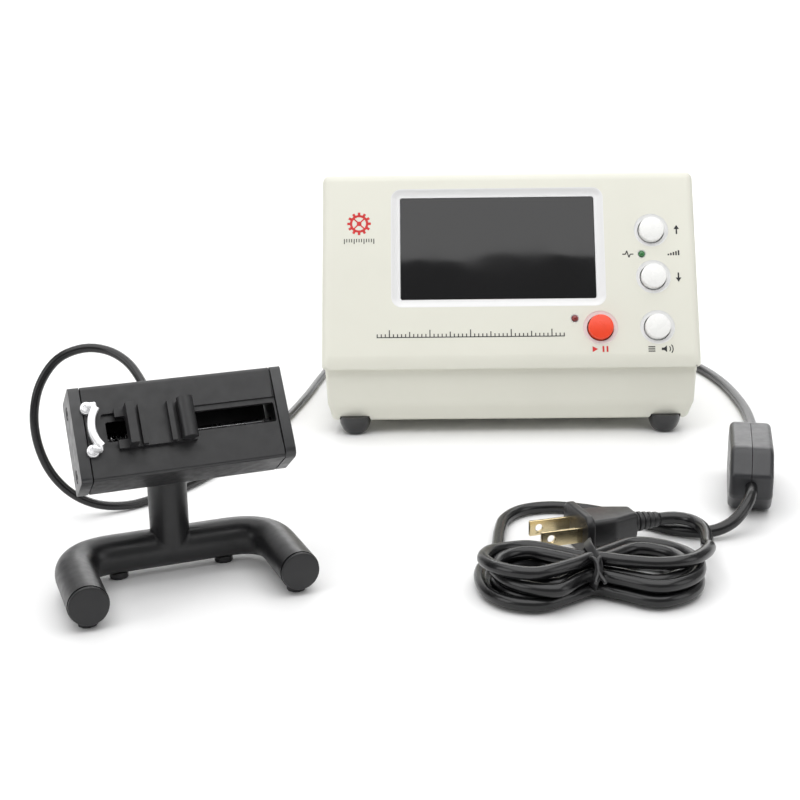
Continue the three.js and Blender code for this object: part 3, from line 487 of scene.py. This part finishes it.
def prism(outline, low, high, edge=0.0, steps=3, bm=None, base=None):
    """Draws an (x, y) outline up from low to high, with its two rims rounded."""
    own = bmesh.new()
    bottom = own.faces.new([own.verts.new((x, y, low)) for x, y in outline])
    made = bmesh.ops.extrude_face_region(own, geom=[bottom])
    bmesh.ops.translate(own, verts=[g for g in made["geom"] if isinstance(g, bmesh.types.BMVert)],
                        vec=(0, 0, high - low))
    bmesh.ops.recalc_face_normals(own, faces=own.faces)
    if edge:
        rims = [e for e in own.edges if abs(e.verts[0].co.z - e.verts[1].co.z) < 1e-6]
        bmesh.ops.bevel(own, geom=rims, offset=edge, segments=steps, profile=0.5,
                        affect="EDGES", clamp_overlap=True)
    if base:
        own.transform(base)
        own.normal_update()
    if bm is None:
        return own
    mesh = bpy.data.meshes.new("joined")
    own.to_mesh(mesh)
    own.free()
    bm.from_mesh(mesh)
    bpy.data.meshes.remove(mesh)
    return bm


def loft(bm, rings):
    """Joins each ring of points to the next one."""
    for low, high in zip(rings, rings[1:]):
        for i in range(len(low)):
            j = (i + 1) % len(low)
            bm.faces.new((low[i], low[j], high[j], high[i]))


def sweep(line, section, bm=None, closed=False):
    """Moves a closed (u, v) section along a line with as little twist as can be."""
    bm = bm or bmesh.new()
    count = len(line)
    tangents = []
    for i in range(count):
        a = line[i - 1] if closed or i else line[0]
        b = line[(i + 1) % count] if closed or i < count - 1 else line[-1]
        tangents.append((b - a).normalized())
    side = tangents[0].orthogonal().normalized()
    if abs(tangents[0].z) < 0.9:
        side = tangents[0].cross(Vector((0, 0, 1))).normalized()
    rings = []
    for i, (place, along) in enumerate(zip(line, tangents)):
        side = (side - along * side.dot(along)).normalized()
        other = side.cross(along)
        rings.append([bm.verts.new(place + side * u + other * v) for u, v in section])
    loft(bm, rings + rings[:1] if closed else rings)
    if not closed:
        bm.faces.new(rings[0])
        bm.faces.new(rings[-1][::-1])
    return bm


def circle(radius, sides=16):
    return [(radius * math.cos(a), radius * math.sin(a))
            for a in (2 * math.pi * i / sides for i in range(sides))]


def box_outline(width, height, radius, x=0.0, y=0.0, steps=6):
    w, h = width / 2, height / 2
    corners = [(x - w, y - h), (x + w, y - h), (x + w, y + h), (x - w, y + h)]
    return rounded(corners, radius, steps)


def carve(obj, cutters, operation="DIFFERENCE", material=None):
    """Cuts the cutters out of obj, or joins them to it, for good. It works in millimetres.
    A material goes on all of the result. Without one, faces from a cutter may be left in an
    empty slot."""
    obj.data.transform(Matrix.Scale(1 / MM, 4))
    for cutter in cutters:
        cutter.data.transform(Matrix.Scale(1 / MM, 4))
        modifier = obj.modifiers.new("cut", "BOOLEAN")
        modifier.object = cutter
        modifier.operation = operation
        modifier.solver = "MANIFOLD"
    bpy.context.view_layer.update()
    mesh = bpy.data.meshes.new_from_object(obj.evaluated_get(bpy.context.evaluated_depsgraph_get()))
    obj.modifiers.clear()
    obj.data = mesh
    for cutter in cutters:
        bpy.data.objects.remove(cutter)
    bm = bmesh.new()
    bm.from_mesh(mesh)
    bmesh.ops.remove_doubles(bm, verts=bm.verts, dist=0.004)
    bmesh.ops.dissolve_degenerate(bm, edges=bm.edges, dist=0.002)
    bm.transform(Matrix.Scale(MM, 4))
    bm.to_mesh(mesh)
    bm.free()
    mesh.shade_smooth()
    mesh.set_sharp_from_angle(angle=math.radians(28))
    if material:
        mesh.materials.clear()
        mesh.materials.append(material)
    weighted = obj.modifiers.new("weighted", "WEIGHTED_NORMAL")
    weighted.keep_sharp = True


def tool(name, bm, base):
    """A cutter for carve."""
    return piece(name, bm, base, None, None)


# Matrices that lay a drawing's plane where it is wanted. Facing +X: drawn (y, z), raised along X.
FACE_X = Matrix(((0, 0, 1, 0), (1, 0, 0, 0), (0, 1, 0, 0), (0, 0, 0, 1)))
# Facing -Y: drawn (x, z), raised towards -Y.
FACE_FRONT = Matrix(((1, 0, 0, 0), (0, 0, -1, 0), (0, 1, 0, 0), (0, 0, 0, 1)))
# Turned pieces whose axis points along +Y, and along +X.
AXIS_Y = Matrix.Rotation(-math.pi / 2, 4, "X")
AXIS_X = Matrix.Rotation(math.pi / 2, 4, "Y")

# ---- console ------------------------------------------------------------------------------------

# Places on the panel are (x, s), with s measured up its slope.
WINDOW_X, WINDOW_S = -5.7, 60
BUTTONS = {
    "button_value_up": (72.2, 68, "value_up"), "button_value_down": (72.4, 43.5, "value_down"),
    "button_start_stop": (45, 17.4, "start_stop"), "button_menu": (73.4, 17.4, "menu"),
}
LAMPS = {"signal_lamp": (67, 55.5, GREEN_LAMP, "green_lamp"),
         "run_lamp": (32.3, 22.2, RED_LAMP, "red_lamp")}


def panel_spot(x, s):
    """A frame on the panel whose Z points out of it."""
    return moved(PANEL_FRAME, x, 0, s) @ FACE_FRONT


# The cover is bevelled as a taller block and then cut off at the seam, so that its corners run down
# to the seam with their full rounding.
CUT_OFF = 15
cover_side = [(0, CUT_OFF), (DEPTH, CUT_OFF), (DEPTH, ROOF_REAR), (PANEL_TOP_Y, ROOF_FRONT),
              (0, PANEL_FOOT)]
cover = prism(cover_side, -HALF_WIDTH, HALF_WIDTH, base=FACE_X)
cover_edges = [e for e in cover.edges if any(v.co.z > CUT_OFF + 1 for v in e.verts)]
bmesh.ops.bevel(cover, geom=cover_edges, offset=4.2, segments=7, profile=0.5, affect="EDGES",
                clamp_overlap=True)
case_cover = piece("case_cover_shell", cover, CASE_FRAME, IVORY, "root",
                   ["case_cover"])
carve(case_cover, [tool("below", prism(box_outline(220, 140, 1, 0, 55), 0, SEAM), CASE_FRAME)])
rim_mesh = bmesh.new()
rim_mesh.from_mesh(case_cover.data)
rim_edges = [e for e in rim_mesh.edges if all(abs(v.co.z - SEAM * MM) < 1e-6 for v in e.verts)]
bmesh.ops.bevel(rim_mesh, geom=rim_edges, offset=1.0 * MM, segments=3, profile=0.5, affect="EDGES")
rim_mesh.to_mesh(case_cover.data)
rim_mesh.free()
case_cover.modifiers.clear()

inner = [(3.4, 30), (107, 30), (107, 117), (47, 124.3), (4.4, 41)]
hollow = prism(inner, -92, 92, 1.2, base=FACE_X)
window_hole = prism(box_outline(99, 54, 1.2, WINDOW_X, WINDOW_S), -8, 5)
# The recess round the window: (depth, width, height, corner radius) from its floor outwards.
RECESS = [(-1.6, 100.2, 55.2, 1.6), (-1.5, 101.2, 56.2, 2.0), (-1.3, 103.6, 58.4, 3.2),
          (-0.5, 106.0, 60.6, 4.4), (-0.1, 107.2, 61.7, 5.0), (0.0, 108.2, 62.6, 5.4),
          (2.0, 112.0, 66.4, 7.0)]
frame_recess = bmesh.new()
rings = []
for depth, width, height, radius in RECESS:
    outline = box_outline(width, height, radius, WINDOW_X, WINDOW_S)
    rings.append([frame_recess.verts.new((x, y, depth)) for x, y in outline])
loft(frame_recess, rings)
frame_recess.faces.new(rings[0][::-1])
frame_recess.faces.new(rings[-1])
panel_plane = PANEL_FRAME @ FACE_FRONT
cutters = [tool("inside", hollow, CASE_FRAME), tool("window", window_hole, panel_plane),
           tool("recess", frame_recess, panel_plane)]
BUTTON_HOLE = [(0, -9), (6.75, -9), (6.75, -0.75), (7.0, -0.6), (7.9, -0.5), (8.35, -0.3),
               (8.7, 0), (9.6, 1.5), (0, 1.5)]
for x, s, _ in BUTTONS.values():
    cutters.append(tool("ring", lathe(BUTTON_HOLE, 56), panel_spot(x, s)))
LAMP_HOLE = [(0, -9), (1.75, -9), (1.75, -0.3), (2.15, 0), (3, 1), (0, 1)]
for x, s, _, _ in LAMPS.values():
    cutters.append(tool("lamp_hole", lathe(LAMP_HOLE, 28), panel_spot(x, s)))
# The faces that these cuts leave are in an empty slot, and show white round window and buttons.
carve(case_cover, cutters)

TRAY_FOOT = 7  # height of the plinth's underside, where it is narrower by TRAY_TAPER a side
TRAY_TAPER = 3.5
tray_side = [(PLINTH_SETBACK, 35.2), (PLINTH_SETBACK, 16.5), (7, TRAY_FOOT), (106.5, TRAY_FOOT),
             (109, 16.5), (109, 35.2)]
tray = prism(tray_side, -93.5, 93.5, base=FACE_X)
for vert in tray.verts:
    if vert.co.z < TRAY_FOOT + 3:
        vert.co.x -= math.copysign(TRAY_TAPER, vert.co.x)
tray_edges = [e for e in tray.edges if not all(v.co.z > 35 for v in e.verts)]
bmesh.ops.bevel(tray, geom=tray_edges, offset=2.2, segments=5, profile=0.5, affect="EDGES",
                clamp_overlap=True)
case_base = piece("case_base_tray", tray, CASE_FRAME, IVORY, "root", ["case_base"])
FEET = {"foot_front_left": (-79, 10.5), "foot_front_right": (79, 10.5),
        "foot_rear_left": (-79, 99.5), "foot_rear_right": (79, 99.5)}
SCREWS = [(-86, 25), (86, 25), (-86, 85), (86, 85)]


def rod(radius, low, high):
    """A plain round profile for lathe."""
    return [(0, low), (radius, low), (radius, high), (0, high)]


cutters = [tool("tray_inside", prism(box_outline(181, 99, 2, 0, 56), 10, 40), CASE_FRAME)]
for x, y in FEET.values():
    cutters.append(tool("pocket", lathe(rod(8.7, 0, 9.8), 40), at(x, y, 0)))
for x, y in SCREWS:
    cutters.append(tool("screw", lathe(rod(3.5, 0, 8.6), 28), at(x, y, 0)))
for x, radius in ((REAR_FITTING_X, 4.8), (-REAR_FITTING_X, 5.3)):
    rear_frame = at(x, 0, REAR_FITTING_Z) @ AXIS_Y
    cutters.append(tool("rear", lathe(rod(radius, 90, 130), 32), rear_frame))
carve(case_base, cutters, material=IVORY)

dome = [(0, 0), (3, 0)]
for i in range(1, 13):
    a = math.pi / 2 * i / 12
    dome.append((3 + 5.3 * math.sin(a), (1 - math.cos(a)) * 9.5))
dome += [(8.3, 9.6), (0, 9.6)]
for foot_name, (x, y) in FEET.items():
    piece(f"{foot_name}_dome", lathe(dome), at(x, y, 0), GLOSSY_RUBBER, "root",
          [foot_name])

crown = [(6.2 * i / 10, 3.0 - 0.55 * (i / 10) ** 2) for i in range(10)]
cap_profile = crown + profile([(*crown[-1], 0), (6.25, 2.4, 0.6), (6.25, -3, 0.2), (2.4, -3, 0.2),
                               (2.4, -8.6, 0.2), (0, -8.6, 0)], 5)[1:]
for button_name, (x, s, body) in BUTTONS.items():
    red = button_name == "button_start_stop"
    piece(f"{button_name}_cap", lathe(cap_profile, 56), panel_spot(x, s),
          RED_CAP if red else WHITE_CAP, body,
          [button_name])
lens_angles = [math.pi / 2 * (1 - i / 8) for i in range(1, 9)]
lens = [(0, 1.2)] + [(1.6 * math.cos(a), 1.3 * math.sin(a) - 0.1) for a in lens_angles]
for lamp_name, (x, s, colour, slot_name) in LAMPS.items():
    piece(f"{lamp_name}_lens", lathe(lens + [(1.6, -8), (0, -8)], 32), panel_spot(x, s), colour,
          "root", [lamp_name])

relief = profile(
    [(0, -8, 0), (4.2, -8, .2), (4.2, 0.4, .2), (6.2, 0.4, .5), (6.2, 2.6, .6), (5.2, 3.2, .3)]
    + ribs(5, 4.2, .4, (5.1, -0.32), (3.3, 0), (6, 8.4, 8.9, 9.7))
    + [(3.5, 25.2, .4), (2.75, 25.2, .2), (0, 25.2, 0)], 3)
piece("mains_strain_relief_sleeve", lathe(relief),
      at(REAR_FITTING_X, 109.4, REAR_FITTING_Z) @ AXIS_Y, RUBBER, "root",
      ["mains_strain_relief"])
socket_frame = at(-REAR_FITTING_X, 109.3, REAR_FITTING_Z) @ AXIS_Y
socket = profile([(0, -8, 0), (4.8, -8, .2), (4.8, 0.2, .1), (7, 0.2, .2), (7, 2.2, .5),
                  (5.6, 2.4, .2), (5.4, 1.6, .2), (3.6, 1.6, .2), (3.6, -6, .2), (0, -6, 0)], 3)
piece("microphone_socket_barrel", lathe(socket), socket_frame, STEEL, "root",
      ["microphone_socket"])
jack = profile(
    [(0, -9, 0), (2.9, -9, .3), (2.9, 2.9, .1), (5.2, 2.9, .3)]
    + ribs(6, 2.2, .15, (5.3, 0), (4.85, 0), (4, 5.4, 5.6, 6.0))
    + [(5.2, 22.8, .6), (3.9, 23.2, .5), (3.4, 27, .3), (2.7, 33.8, .3), (0, 33.8, 0)], 3)
microphone_plug = piece("microphone_plug_grip", lathe(jack), socket_frame, MOULDED, "root",
                        ["microphone_plug"])

# ---- printed marks on the panel -----------------------------------------------------------------


def flat_mark(name, outlines, material):
    """Thin printed shapes on the panel, drawn as (x, s)."""
    bm = bmesh.new()
    for shape in outlines:
        prism(shape, 0.02, 0.07, bm=bm)
    return piece(name, bm, panel_plane, material, "root")


def bar_mark(x0, s0, x1, s1, width):
    """A straight bar from one point to another."""
    along = Vector((x1 - x0, s1 - s0)).normalized() * width / 2
    side = Vector((-along.y, along.x))
    return [(x0 - side.x, s0 - side.y), (x1 - side.x, s1 - side.y), (x1 + side.x, s1 + side.y),
            (x0 + side.x, s0 + side.y)]


def disc_mark(x, s, radius, sides=24):
    return [(x + u, s + v) for u, v in circle(radius, sides)]


def ring_mark(x, s, outer, inner, parts=24, start=0, span=360):
    """A ring, or an arc of one, as a row of four-sided shapes."""
    quads = []
    for i in range(parts):
        a, b = (math.radians(start + span * k / parts) for k in (i, i + 1))
        quads.append([(x + r * math.cos(t), s + r * math.sin(t))
                      for r, t in ((inner, a), (outer, a), (outer, b), (inner, b))])
    return quads


def spoke_marks(x, s, inner, outer, width, count, start=0):
    """Bars that point out from a centre."""
    bars = []
    for i in range(count):
        a = math.radians(start + 360 * i / count)
        bars.append(bar_mark(x + inner * math.cos(a), s + inner * math.sin(a),
                             x + outer * math.cos(a), s + outer * math.sin(a), width))
    return bars


wheel = (-76, 73)
flat_mark("wheel_mark", ring_mark(*wheel, 4.7, 3.5, 36) + spoke_marks(*wheel, 4.4, 6, 1.3, 12)
          + spoke_marks(*wheel, 1, 3.7, 0.7, 4, 45) + [disc_mark(*wheel, 1.2)], INK_RED)
ticks = []
for i in range(13):
    x = -83.5 + 1.25 * i
    ticks.append(bar_mark(x, 62.3 if i % 4 == 0 else 63.2, x, 65.0, 0.45))
flat_mark("short_scale_mark", ticks, INK_BLACK)
scale = []
for i in range(47):
    x = -66.9 + 93.6 * i / 46
    height = 3.6 if i % 10 == 3 else 2.6 if i % 5 == 3 else 1.5
    scale.append(bar_mark(x, 13.4, x, 13.4 + height, 0.5))
scale.append(bar_mark(-67.2, 13.2, 27, 13.2, 0.45))
flat_mark("long_scale_mark", scale, INK_BLACK)
for name, s, way in (("arrow_up_mark", 68, 1), ("arrow_down_mark", 43.3, -1)):
    head = [(83.6, s + 0.4 * way), (86.4, s + 0.4 * way), (85, s + 2.6 * way)]
    shaft = bar_mark(85, s - 2.2 * way, 85, s + 0.6 * way, 0.75)
    flat_mark(name, [shaft, head[::way]], INK_BLACK)
pulse = [(57.2, 55.4), (58.8, 55.4), (59.5, 57.2), (60.5, 53.7), (61.2, 55.4), (62.8, 55.4)]
flat_mark("pulse_mark", [bar_mark(*a, *b, 0.5) for a, b in zip(pulse, pulse[1:])], INK_BLACK)
flat_mark("value_mark", [bar_mark(80.4 + 1.3 * i, 54.6, 80.4 + 1.3 * i, 55.4 + 0.45 * i, 0.75)
                         for i in range(5)], INK_BLACK)
flat_mark("start_stop_mark", [[(40.6, 4.8), (43.4, 6.3), (40.6, 7.8)],
                              bar_mark(46, 4.8, 46, 7.8, 0.9), bar_mark(48, 4.8, 48, 7.8, 0.9)],
          INK_RED)
flat_mark("menu_mark", [bar_mark(68.4, s, 71.8, s, 0.55) for s in (5, 6.1, 7.2)]
          + [[(75, 5.5), (76.2, 5.5), (77.6, 4.4), (77.6, 7.8), (76.2, 6.7), (75, 6.7)]]
          + ring_mark(77.4, 6.1, 2.2, 1.7, 6, -40, 80)
          + ring_mark(77.4, 6.1, 3.5, 3.0, 8, -40, 80), INK_BLACK)

# ---- microphone stand ---------------------------------------------------------------------------


LEG_END, BEND = 43.4, 17  # how far forward the legs reach, and the reach of their corners


def stand_line():
    """The tube's centreline: up the left leg, round its corner, across, and down the right leg."""
    leg = [Vector((-LEG_X, -LEG_END + i * (LEG_END - BEND) / 10, TUBE_Z)) for i in range(10)]
    corner = []
    a, b, c = ((-LEG_X, -BEND), (-LEG_X, 0), (BEND - LEG_X, 0))
    for i in range(19):
        t = i / 18
        corner.append(Vector([(1 - t) ** 2 * a[k] + 2 * t * (1 - t) * b[k] + t * t * c[k]
                              for k in (0, 1)] + [TUBE_Z]))
    left = leg + corner
    right = [Vector((-p.x, p.y, p.z)) for p in reversed(left)]
    return left + [Vector((x, 0, TUBE_Z)) for x in (-14, -7, 0, 7, 14)] + right


tube = piece("stand_tube_frame", sweep(stand_line(), circle(TUBE_RADIUS, 40)), STAND_FRAME, PAINT,
             "root", ["stand_tube"])
post = lathe(profile([(0, TUBE_Z, 0), (TUBE_RADIUS, TUBE_Z, 0), (TUBE_RADIUS, 38, .5),
                      (5.4, 38, .3), (5.4, 24, 0), (0, 24, 0)], 4), 44)
carve(tube, [tool("post", post, STAND_FRAME)], "UNION", PAINT)

boot_from, boot_to = Vector((0, 4.9, 30.1)), Vector((1.5, 16, 38.5))
boot_way = (boot_to - boot_from).to_track_quat("Z", "Y").to_matrix().to_4x4()
boot_frame = moved(STAND_FRAME, *boot_from) @ boot_way
carve(tube, [tool("boot_hole", lathe(rod(3.2, -6, 9), 28), boot_frame)], material=PAINT)
boot = profile([(0, 0, 0), (2.85, 0, .2)]
               + ribs(4, 2.2, .2, (2.85, -0.1), (2.25, 0), (4.4, 5.6, 5.9, 6.3))
               + [(2.4, 13.4, .2), (2.3, 14, .2), (0, 14, 0)], 3)
piece("cable_boot_sleeve", lathe(boot, 36), boot_frame, RUBBER, "root",
      ["cable_boot"])
cap = profile([(0, -7, 0), (5.0, -7, .3), (5.0, 0, .1), (7.25, 0, .2), (7.25, 1.3, .8),
               (0, 1.45, 0)], 5)
for side, end_name in ((-1, "left"), (1, "right")):
    spot = turned(moved(STAND_FRAME, side * LEG_X, -43.7, TUBE_Z), 90, "X")
    piece(f"tube_cap_{end_name}_disc", lathe(cap, 44), spot, PAINT, "root",
          [f"tube_cap_{end_name}"])

# ---- microphone head ----------------------------------------------------------------------------

HEAD_DEPTH, HEAD_HEIGHT = 20.3, 35.5
FRONT = -HEAD_DEPTH / 2
PIN_Y, PIN_Z, EAR_RADIUS = 18.25, -1.3, 5.6
TOP = HEAD_HEIGHT / 2
block = rounded([(FRONT, -TOP), (-FRONT, -TOP), (-FRONT, TOP), (FRONT, TOP)],
                [1.1, 1.6, 1.6, 1.6], 6)
housing = piece("head_housing_block", prism(block, -35.2, 35.2, 0.35, 2, base=FACE_X), HEAD_FRAME,
                ANODISED, "head", ["head_housing"])
ears = []
ear_outline = [(8, -5.6), *[(PIN_Y + EAR_RADIUS * math.cos(a), PIN_Z + EAR_RADIUS * math.sin(a))
                            for a in (math.radians(d) for d in range(-90, 91, 10))], (8, 4.3)]
for low_x, high_x in ((-11.7, -7.7), (-0.1, 3.9)):
    ears.append(tool("ear", prism(ear_outline, low_x, high_x, 0.4, 2, base=FACE_X), HEAD_FRAME))
carve(housing, ears, "UNION")
cutters = [
    tool("hollow", prism(box_outline(15.1, 30.3, 0.8), -40, 40, base=FACE_X), HEAD_FRAME),
    tool("slot", prism(box_outline(62.5, 7.5, 0.8, 3.25), 5, 14, base=FACE_FRONT), HEAD_FRAME),
    tool("step", prism(box_outline(66, 11.5, 1.6, 4.6), 9.35, 14, base=FACE_FRONT), HEAD_FRAME),
    tool("pocket", prism(box_outline(12, 13, 1.2, -23.5), 8.6, 14, base=FACE_FRONT), HEAD_FRAME),
    tool("pin_bore", lathe(rod(2.05, -20, 20), 32), moved(HEAD_FRAME, -3.9, PIN_Y, PIN_Z) @ AXIS_X),
]
carve(housing, cutters, material=ANODISED)

arch = []
for i in range(25):
    a = math.radians(142 + 76 * i / 24)
    arch.append(Vector((-21.8 + 11.8 * math.cos(a), FRONT - 3.0, 1 + 11.8 * math.sin(a))))
contact = sweep(arch, rounded([(-1.8, -1.4), (1.8, -1.4), (1.8, 1.4), (-1.8, 1.4)], 0.6, 4))
stud = profile([(0, -2, 0), (1, -2, .1), (1, .3, .1), (2.3, .3, .2), (2.3, 1.9, .5), (1.2, 2.1, .3),
                (1.2, 1.6, .2), (0, 1.6, 0)], 4)
for z in (-7, 9):
    lathe(stud, 36, contact, turned(Matrix.Translation((-34, FRONT, z)), 90, "X"))
    tab = rounded([(-34.4, z - 1.2), (-30.8, z - 1.2), (-30.8, z + 1.2), (-34.4, z + 1.2)], 0.7, 4)
    prism(tab, -FRONT + 1.2, -FRONT + 4.4, 0.4, 2, bm=contact, base=FACE_FRONT)
piece("crown_contact_bar", contact, HEAD_FRAME, CHROME, "head", ["crown_contact"])

COIL_RADIUS, COIL_STEPS = 2.9, 320
coil = []
for i in range(COIL_STEPS + 1):
    a = i * math.pi / 16
    coil.append(Vector((-34.7 + 17.1 * i / COIL_STEPS, 3 + COIL_RADIUS * math.cos(a),
                        COIL_RADIUS * math.sin(a))))
piece("slider_spring_coil", sweep(coil, circle(0.35, 10)), HEAD_FRAME, STEEL, "head",
      ["slider_spring"])

# ---- in-line switch and plug --------------------------------------------------------------------

hexagon = rounded([(-30, -5), (-20, -14), (20, -14), (30, -5), (30, 5), (20, 14), (-20, 14),
                   (-30, 5)], [3.4, 9, 9, 3.4, 3.4, 9, 9, 3.4], 7)
SWITCH_PLANE = SWITCH_FRAME @ FACE_FRONT
SINK = [(0, 6.8), (2.3, 6.8), (2.3, 8.6), (2.7, 9.2), (3, 12), (0, 12)]
switch_shells = []
for name, joint_face, outer in (("switch_shell_back", 0.12, 9), ("switch_shell_front", -0.12, -9)):
    shell = prism(hexagon, min(joint_face, outer), max(joint_face, outer))
    rim = [e for e in shell.edges if all(abs(v.co.z - outer) < 1e-4 for v in e.verts)]
    bmesh.ops.bevel(shell, geom=rim, offset=2.4, segments=6, profile=0.5, affect="EDGES")
    switch_shells.append(piece(f"{name}_half", shell, SWITCH_PLANE, SWITCH_GREY, "root",
                               [name]))
sinks = [tool("sink", lathe(SINK, 32), moved(SWITCH_FRAME, end * 18, 0, end * 5) @ FACE_FRONT)
         for end in (-1, 1)]
carve(switch_shells[0], sinks, material=SWITCH_GREY)

grip = rounded([(11, -4.6), (22, -8.2), (31, -8.6), (34, -8.8), (34, 8.8), (31, 8.6), (22, 8.2),
                (11, 4.6)], [2, 9, 4, 0, 0, 4, 9, 2], 6)
plug = prism(grip, -5.6, 5.6, 2.0, 5)
prism(box_outline(25, 17, 4.5), 33, 36.4, 0.9, 4, bm=plug, base=FACE_X)
neck = profile([(0, 0.3, 0), (2.8, 0.3, .3)]
               + ribs(5, 2.3, .25, (3.1, 0.3), (2.75, 0.22), (1.2, 2.5, 2.8, 3.2))
               + [(4.6, 13.2, .3), (4.6, 15, 0), (0, 15, 0)], 3)
lathe(neck, 40, plug, AXIS_X)
plug_body = piece("plug_body_moulding", plug, PLUG_FRAME, MOULDED, "root",
                  ["plug_body"])

tie = []
for i in range(72):
    a = 2 * math.pi * i / 72
    waist = 1 - 0.06 * math.cos(2 * a)
    tie.append(Vector((math.sin(3 * a), 12.3 * math.cos(a) * waist, 9 + 8.3 * math.sin(a))))
strip = rounded([(-1.6, -.45), (1.6, -.45), (1.6, .45), (-1.6, .45)], .3, 3)
tie_mesh = sweep(tie, strip, closed=True)
for way in (-1, 1):
    tail = []
    for i in range(25):
        t = i / 24
        tail.append(Vector((way * (0.8 + 0.9 * math.cos(6 * t)), -8 - 11 * t,
                            15.5 + 0.9 * math.sin(6 * t) - 5 * t * t)))
    sweep(tail, circle(0.75, 12), tie_mesh)
twist_tie = piece("bundle_tie", tie_mesh, BUNDLE_FRAME, MOULDED, "root")

for cord_piece in (microphone_cable, mains_lead):
    cord_piece.data.materials.append(JACKET)

# ---- floor and light ----------------------------------------------------------------------------

bpy.context.scene.view_settings.view_transform = "Standard"

FLOOR_WHITE = new_material("backdrop", (0.88, 0.88, 0.88), 0.7, patch=0.01, patch_scale=3,
                           bump=0.02)
# The floor runs back and turns up into a wall, in metres.
TURN_START, TURN_RADIUS = 3.0, 1.5
floor_line = [(-6, 0), (TURN_START, 0)]
for i in range(1, 13):
    a = math.pi / 2 * i / 12
    floor_line.append((TURN_START + TURN_RADIUS * math.sin(a), TURN_RADIUS * (1 - math.cos(a))))
floor_line.append((TURN_START + TURN_RADIUS, 6))
floor_mesh = bmesh.new()
rows = [[floor_mesh.verts.new((x, y, z)) for y, z in floor_line] for x in (-7, 7)]
for i in range(len(floor_line) - 1):
    floor_mesh.faces.new((rows[0][i], rows[0][i + 1], rows[1][i + 1], rows[1][i]))
floor_mesh.normal_update()
floor_data = bpy.data.meshes.new("floor")
floor_mesh.to_mesh(floor_data)
floor_mesh.free()
floor_data.shade_smooth()
floor_data.materials.append(FLOOR_WHITE)
floor = bpy.data.objects.new("floor", floor_data)
bpy.context.scene.collection.objects.link(floor)
floor.location.z = -0.0002


def softbox(name, place, target, width, depth, power):
    """A rectangular light at place that faces target, in metres and watts."""
    light = bpy.data.lights.new(name, "AREA")
    light.shape = "RECTANGLE"
    light.size, light.size_y = width, depth
    light.energy = power
    obj = bpy.data.objects.new(name, light)
    bpy.context.scene.collection.objects.link(obj)
    obj.location = place
    obj.rotation_euler = (Vector(target) - Vector(place)).to_track_quat("-Z", "Y").to_euler()


softbox("overhead", (0, -0.34, 1.5), (0, -0.34, 0), 2.2, 2.1, 29)
softbox("left", (-1.7, -0.9, 0.9), (0, 0, 0.05), 1.2, 1.2, 9)
softbox("right", (1.8, -0.7, 0.8), (0, 0, 0.05), 1.0, 1.2, 5)
softbox("behind", (0.3, 1.9, 1.3), (0, 0.1, 0.1), 1.8, 0.8, 8)
softbox("backdrop", (0, 2.2, 2.4), (0, 4.0, 0.4), 4.0, 1.5, 150)
world = bpy.data.worlds.new("studio")
world.use_nodes = True
world.node_tree.nodes["Background"].inputs["Color"].default_value = (1, 1, 1, 1)
world.node_tree.nodes["Background"].inputs["Strength"].default_value = 0.30
bpy.context.scene.world = world

bpy.context.view_layer.update()
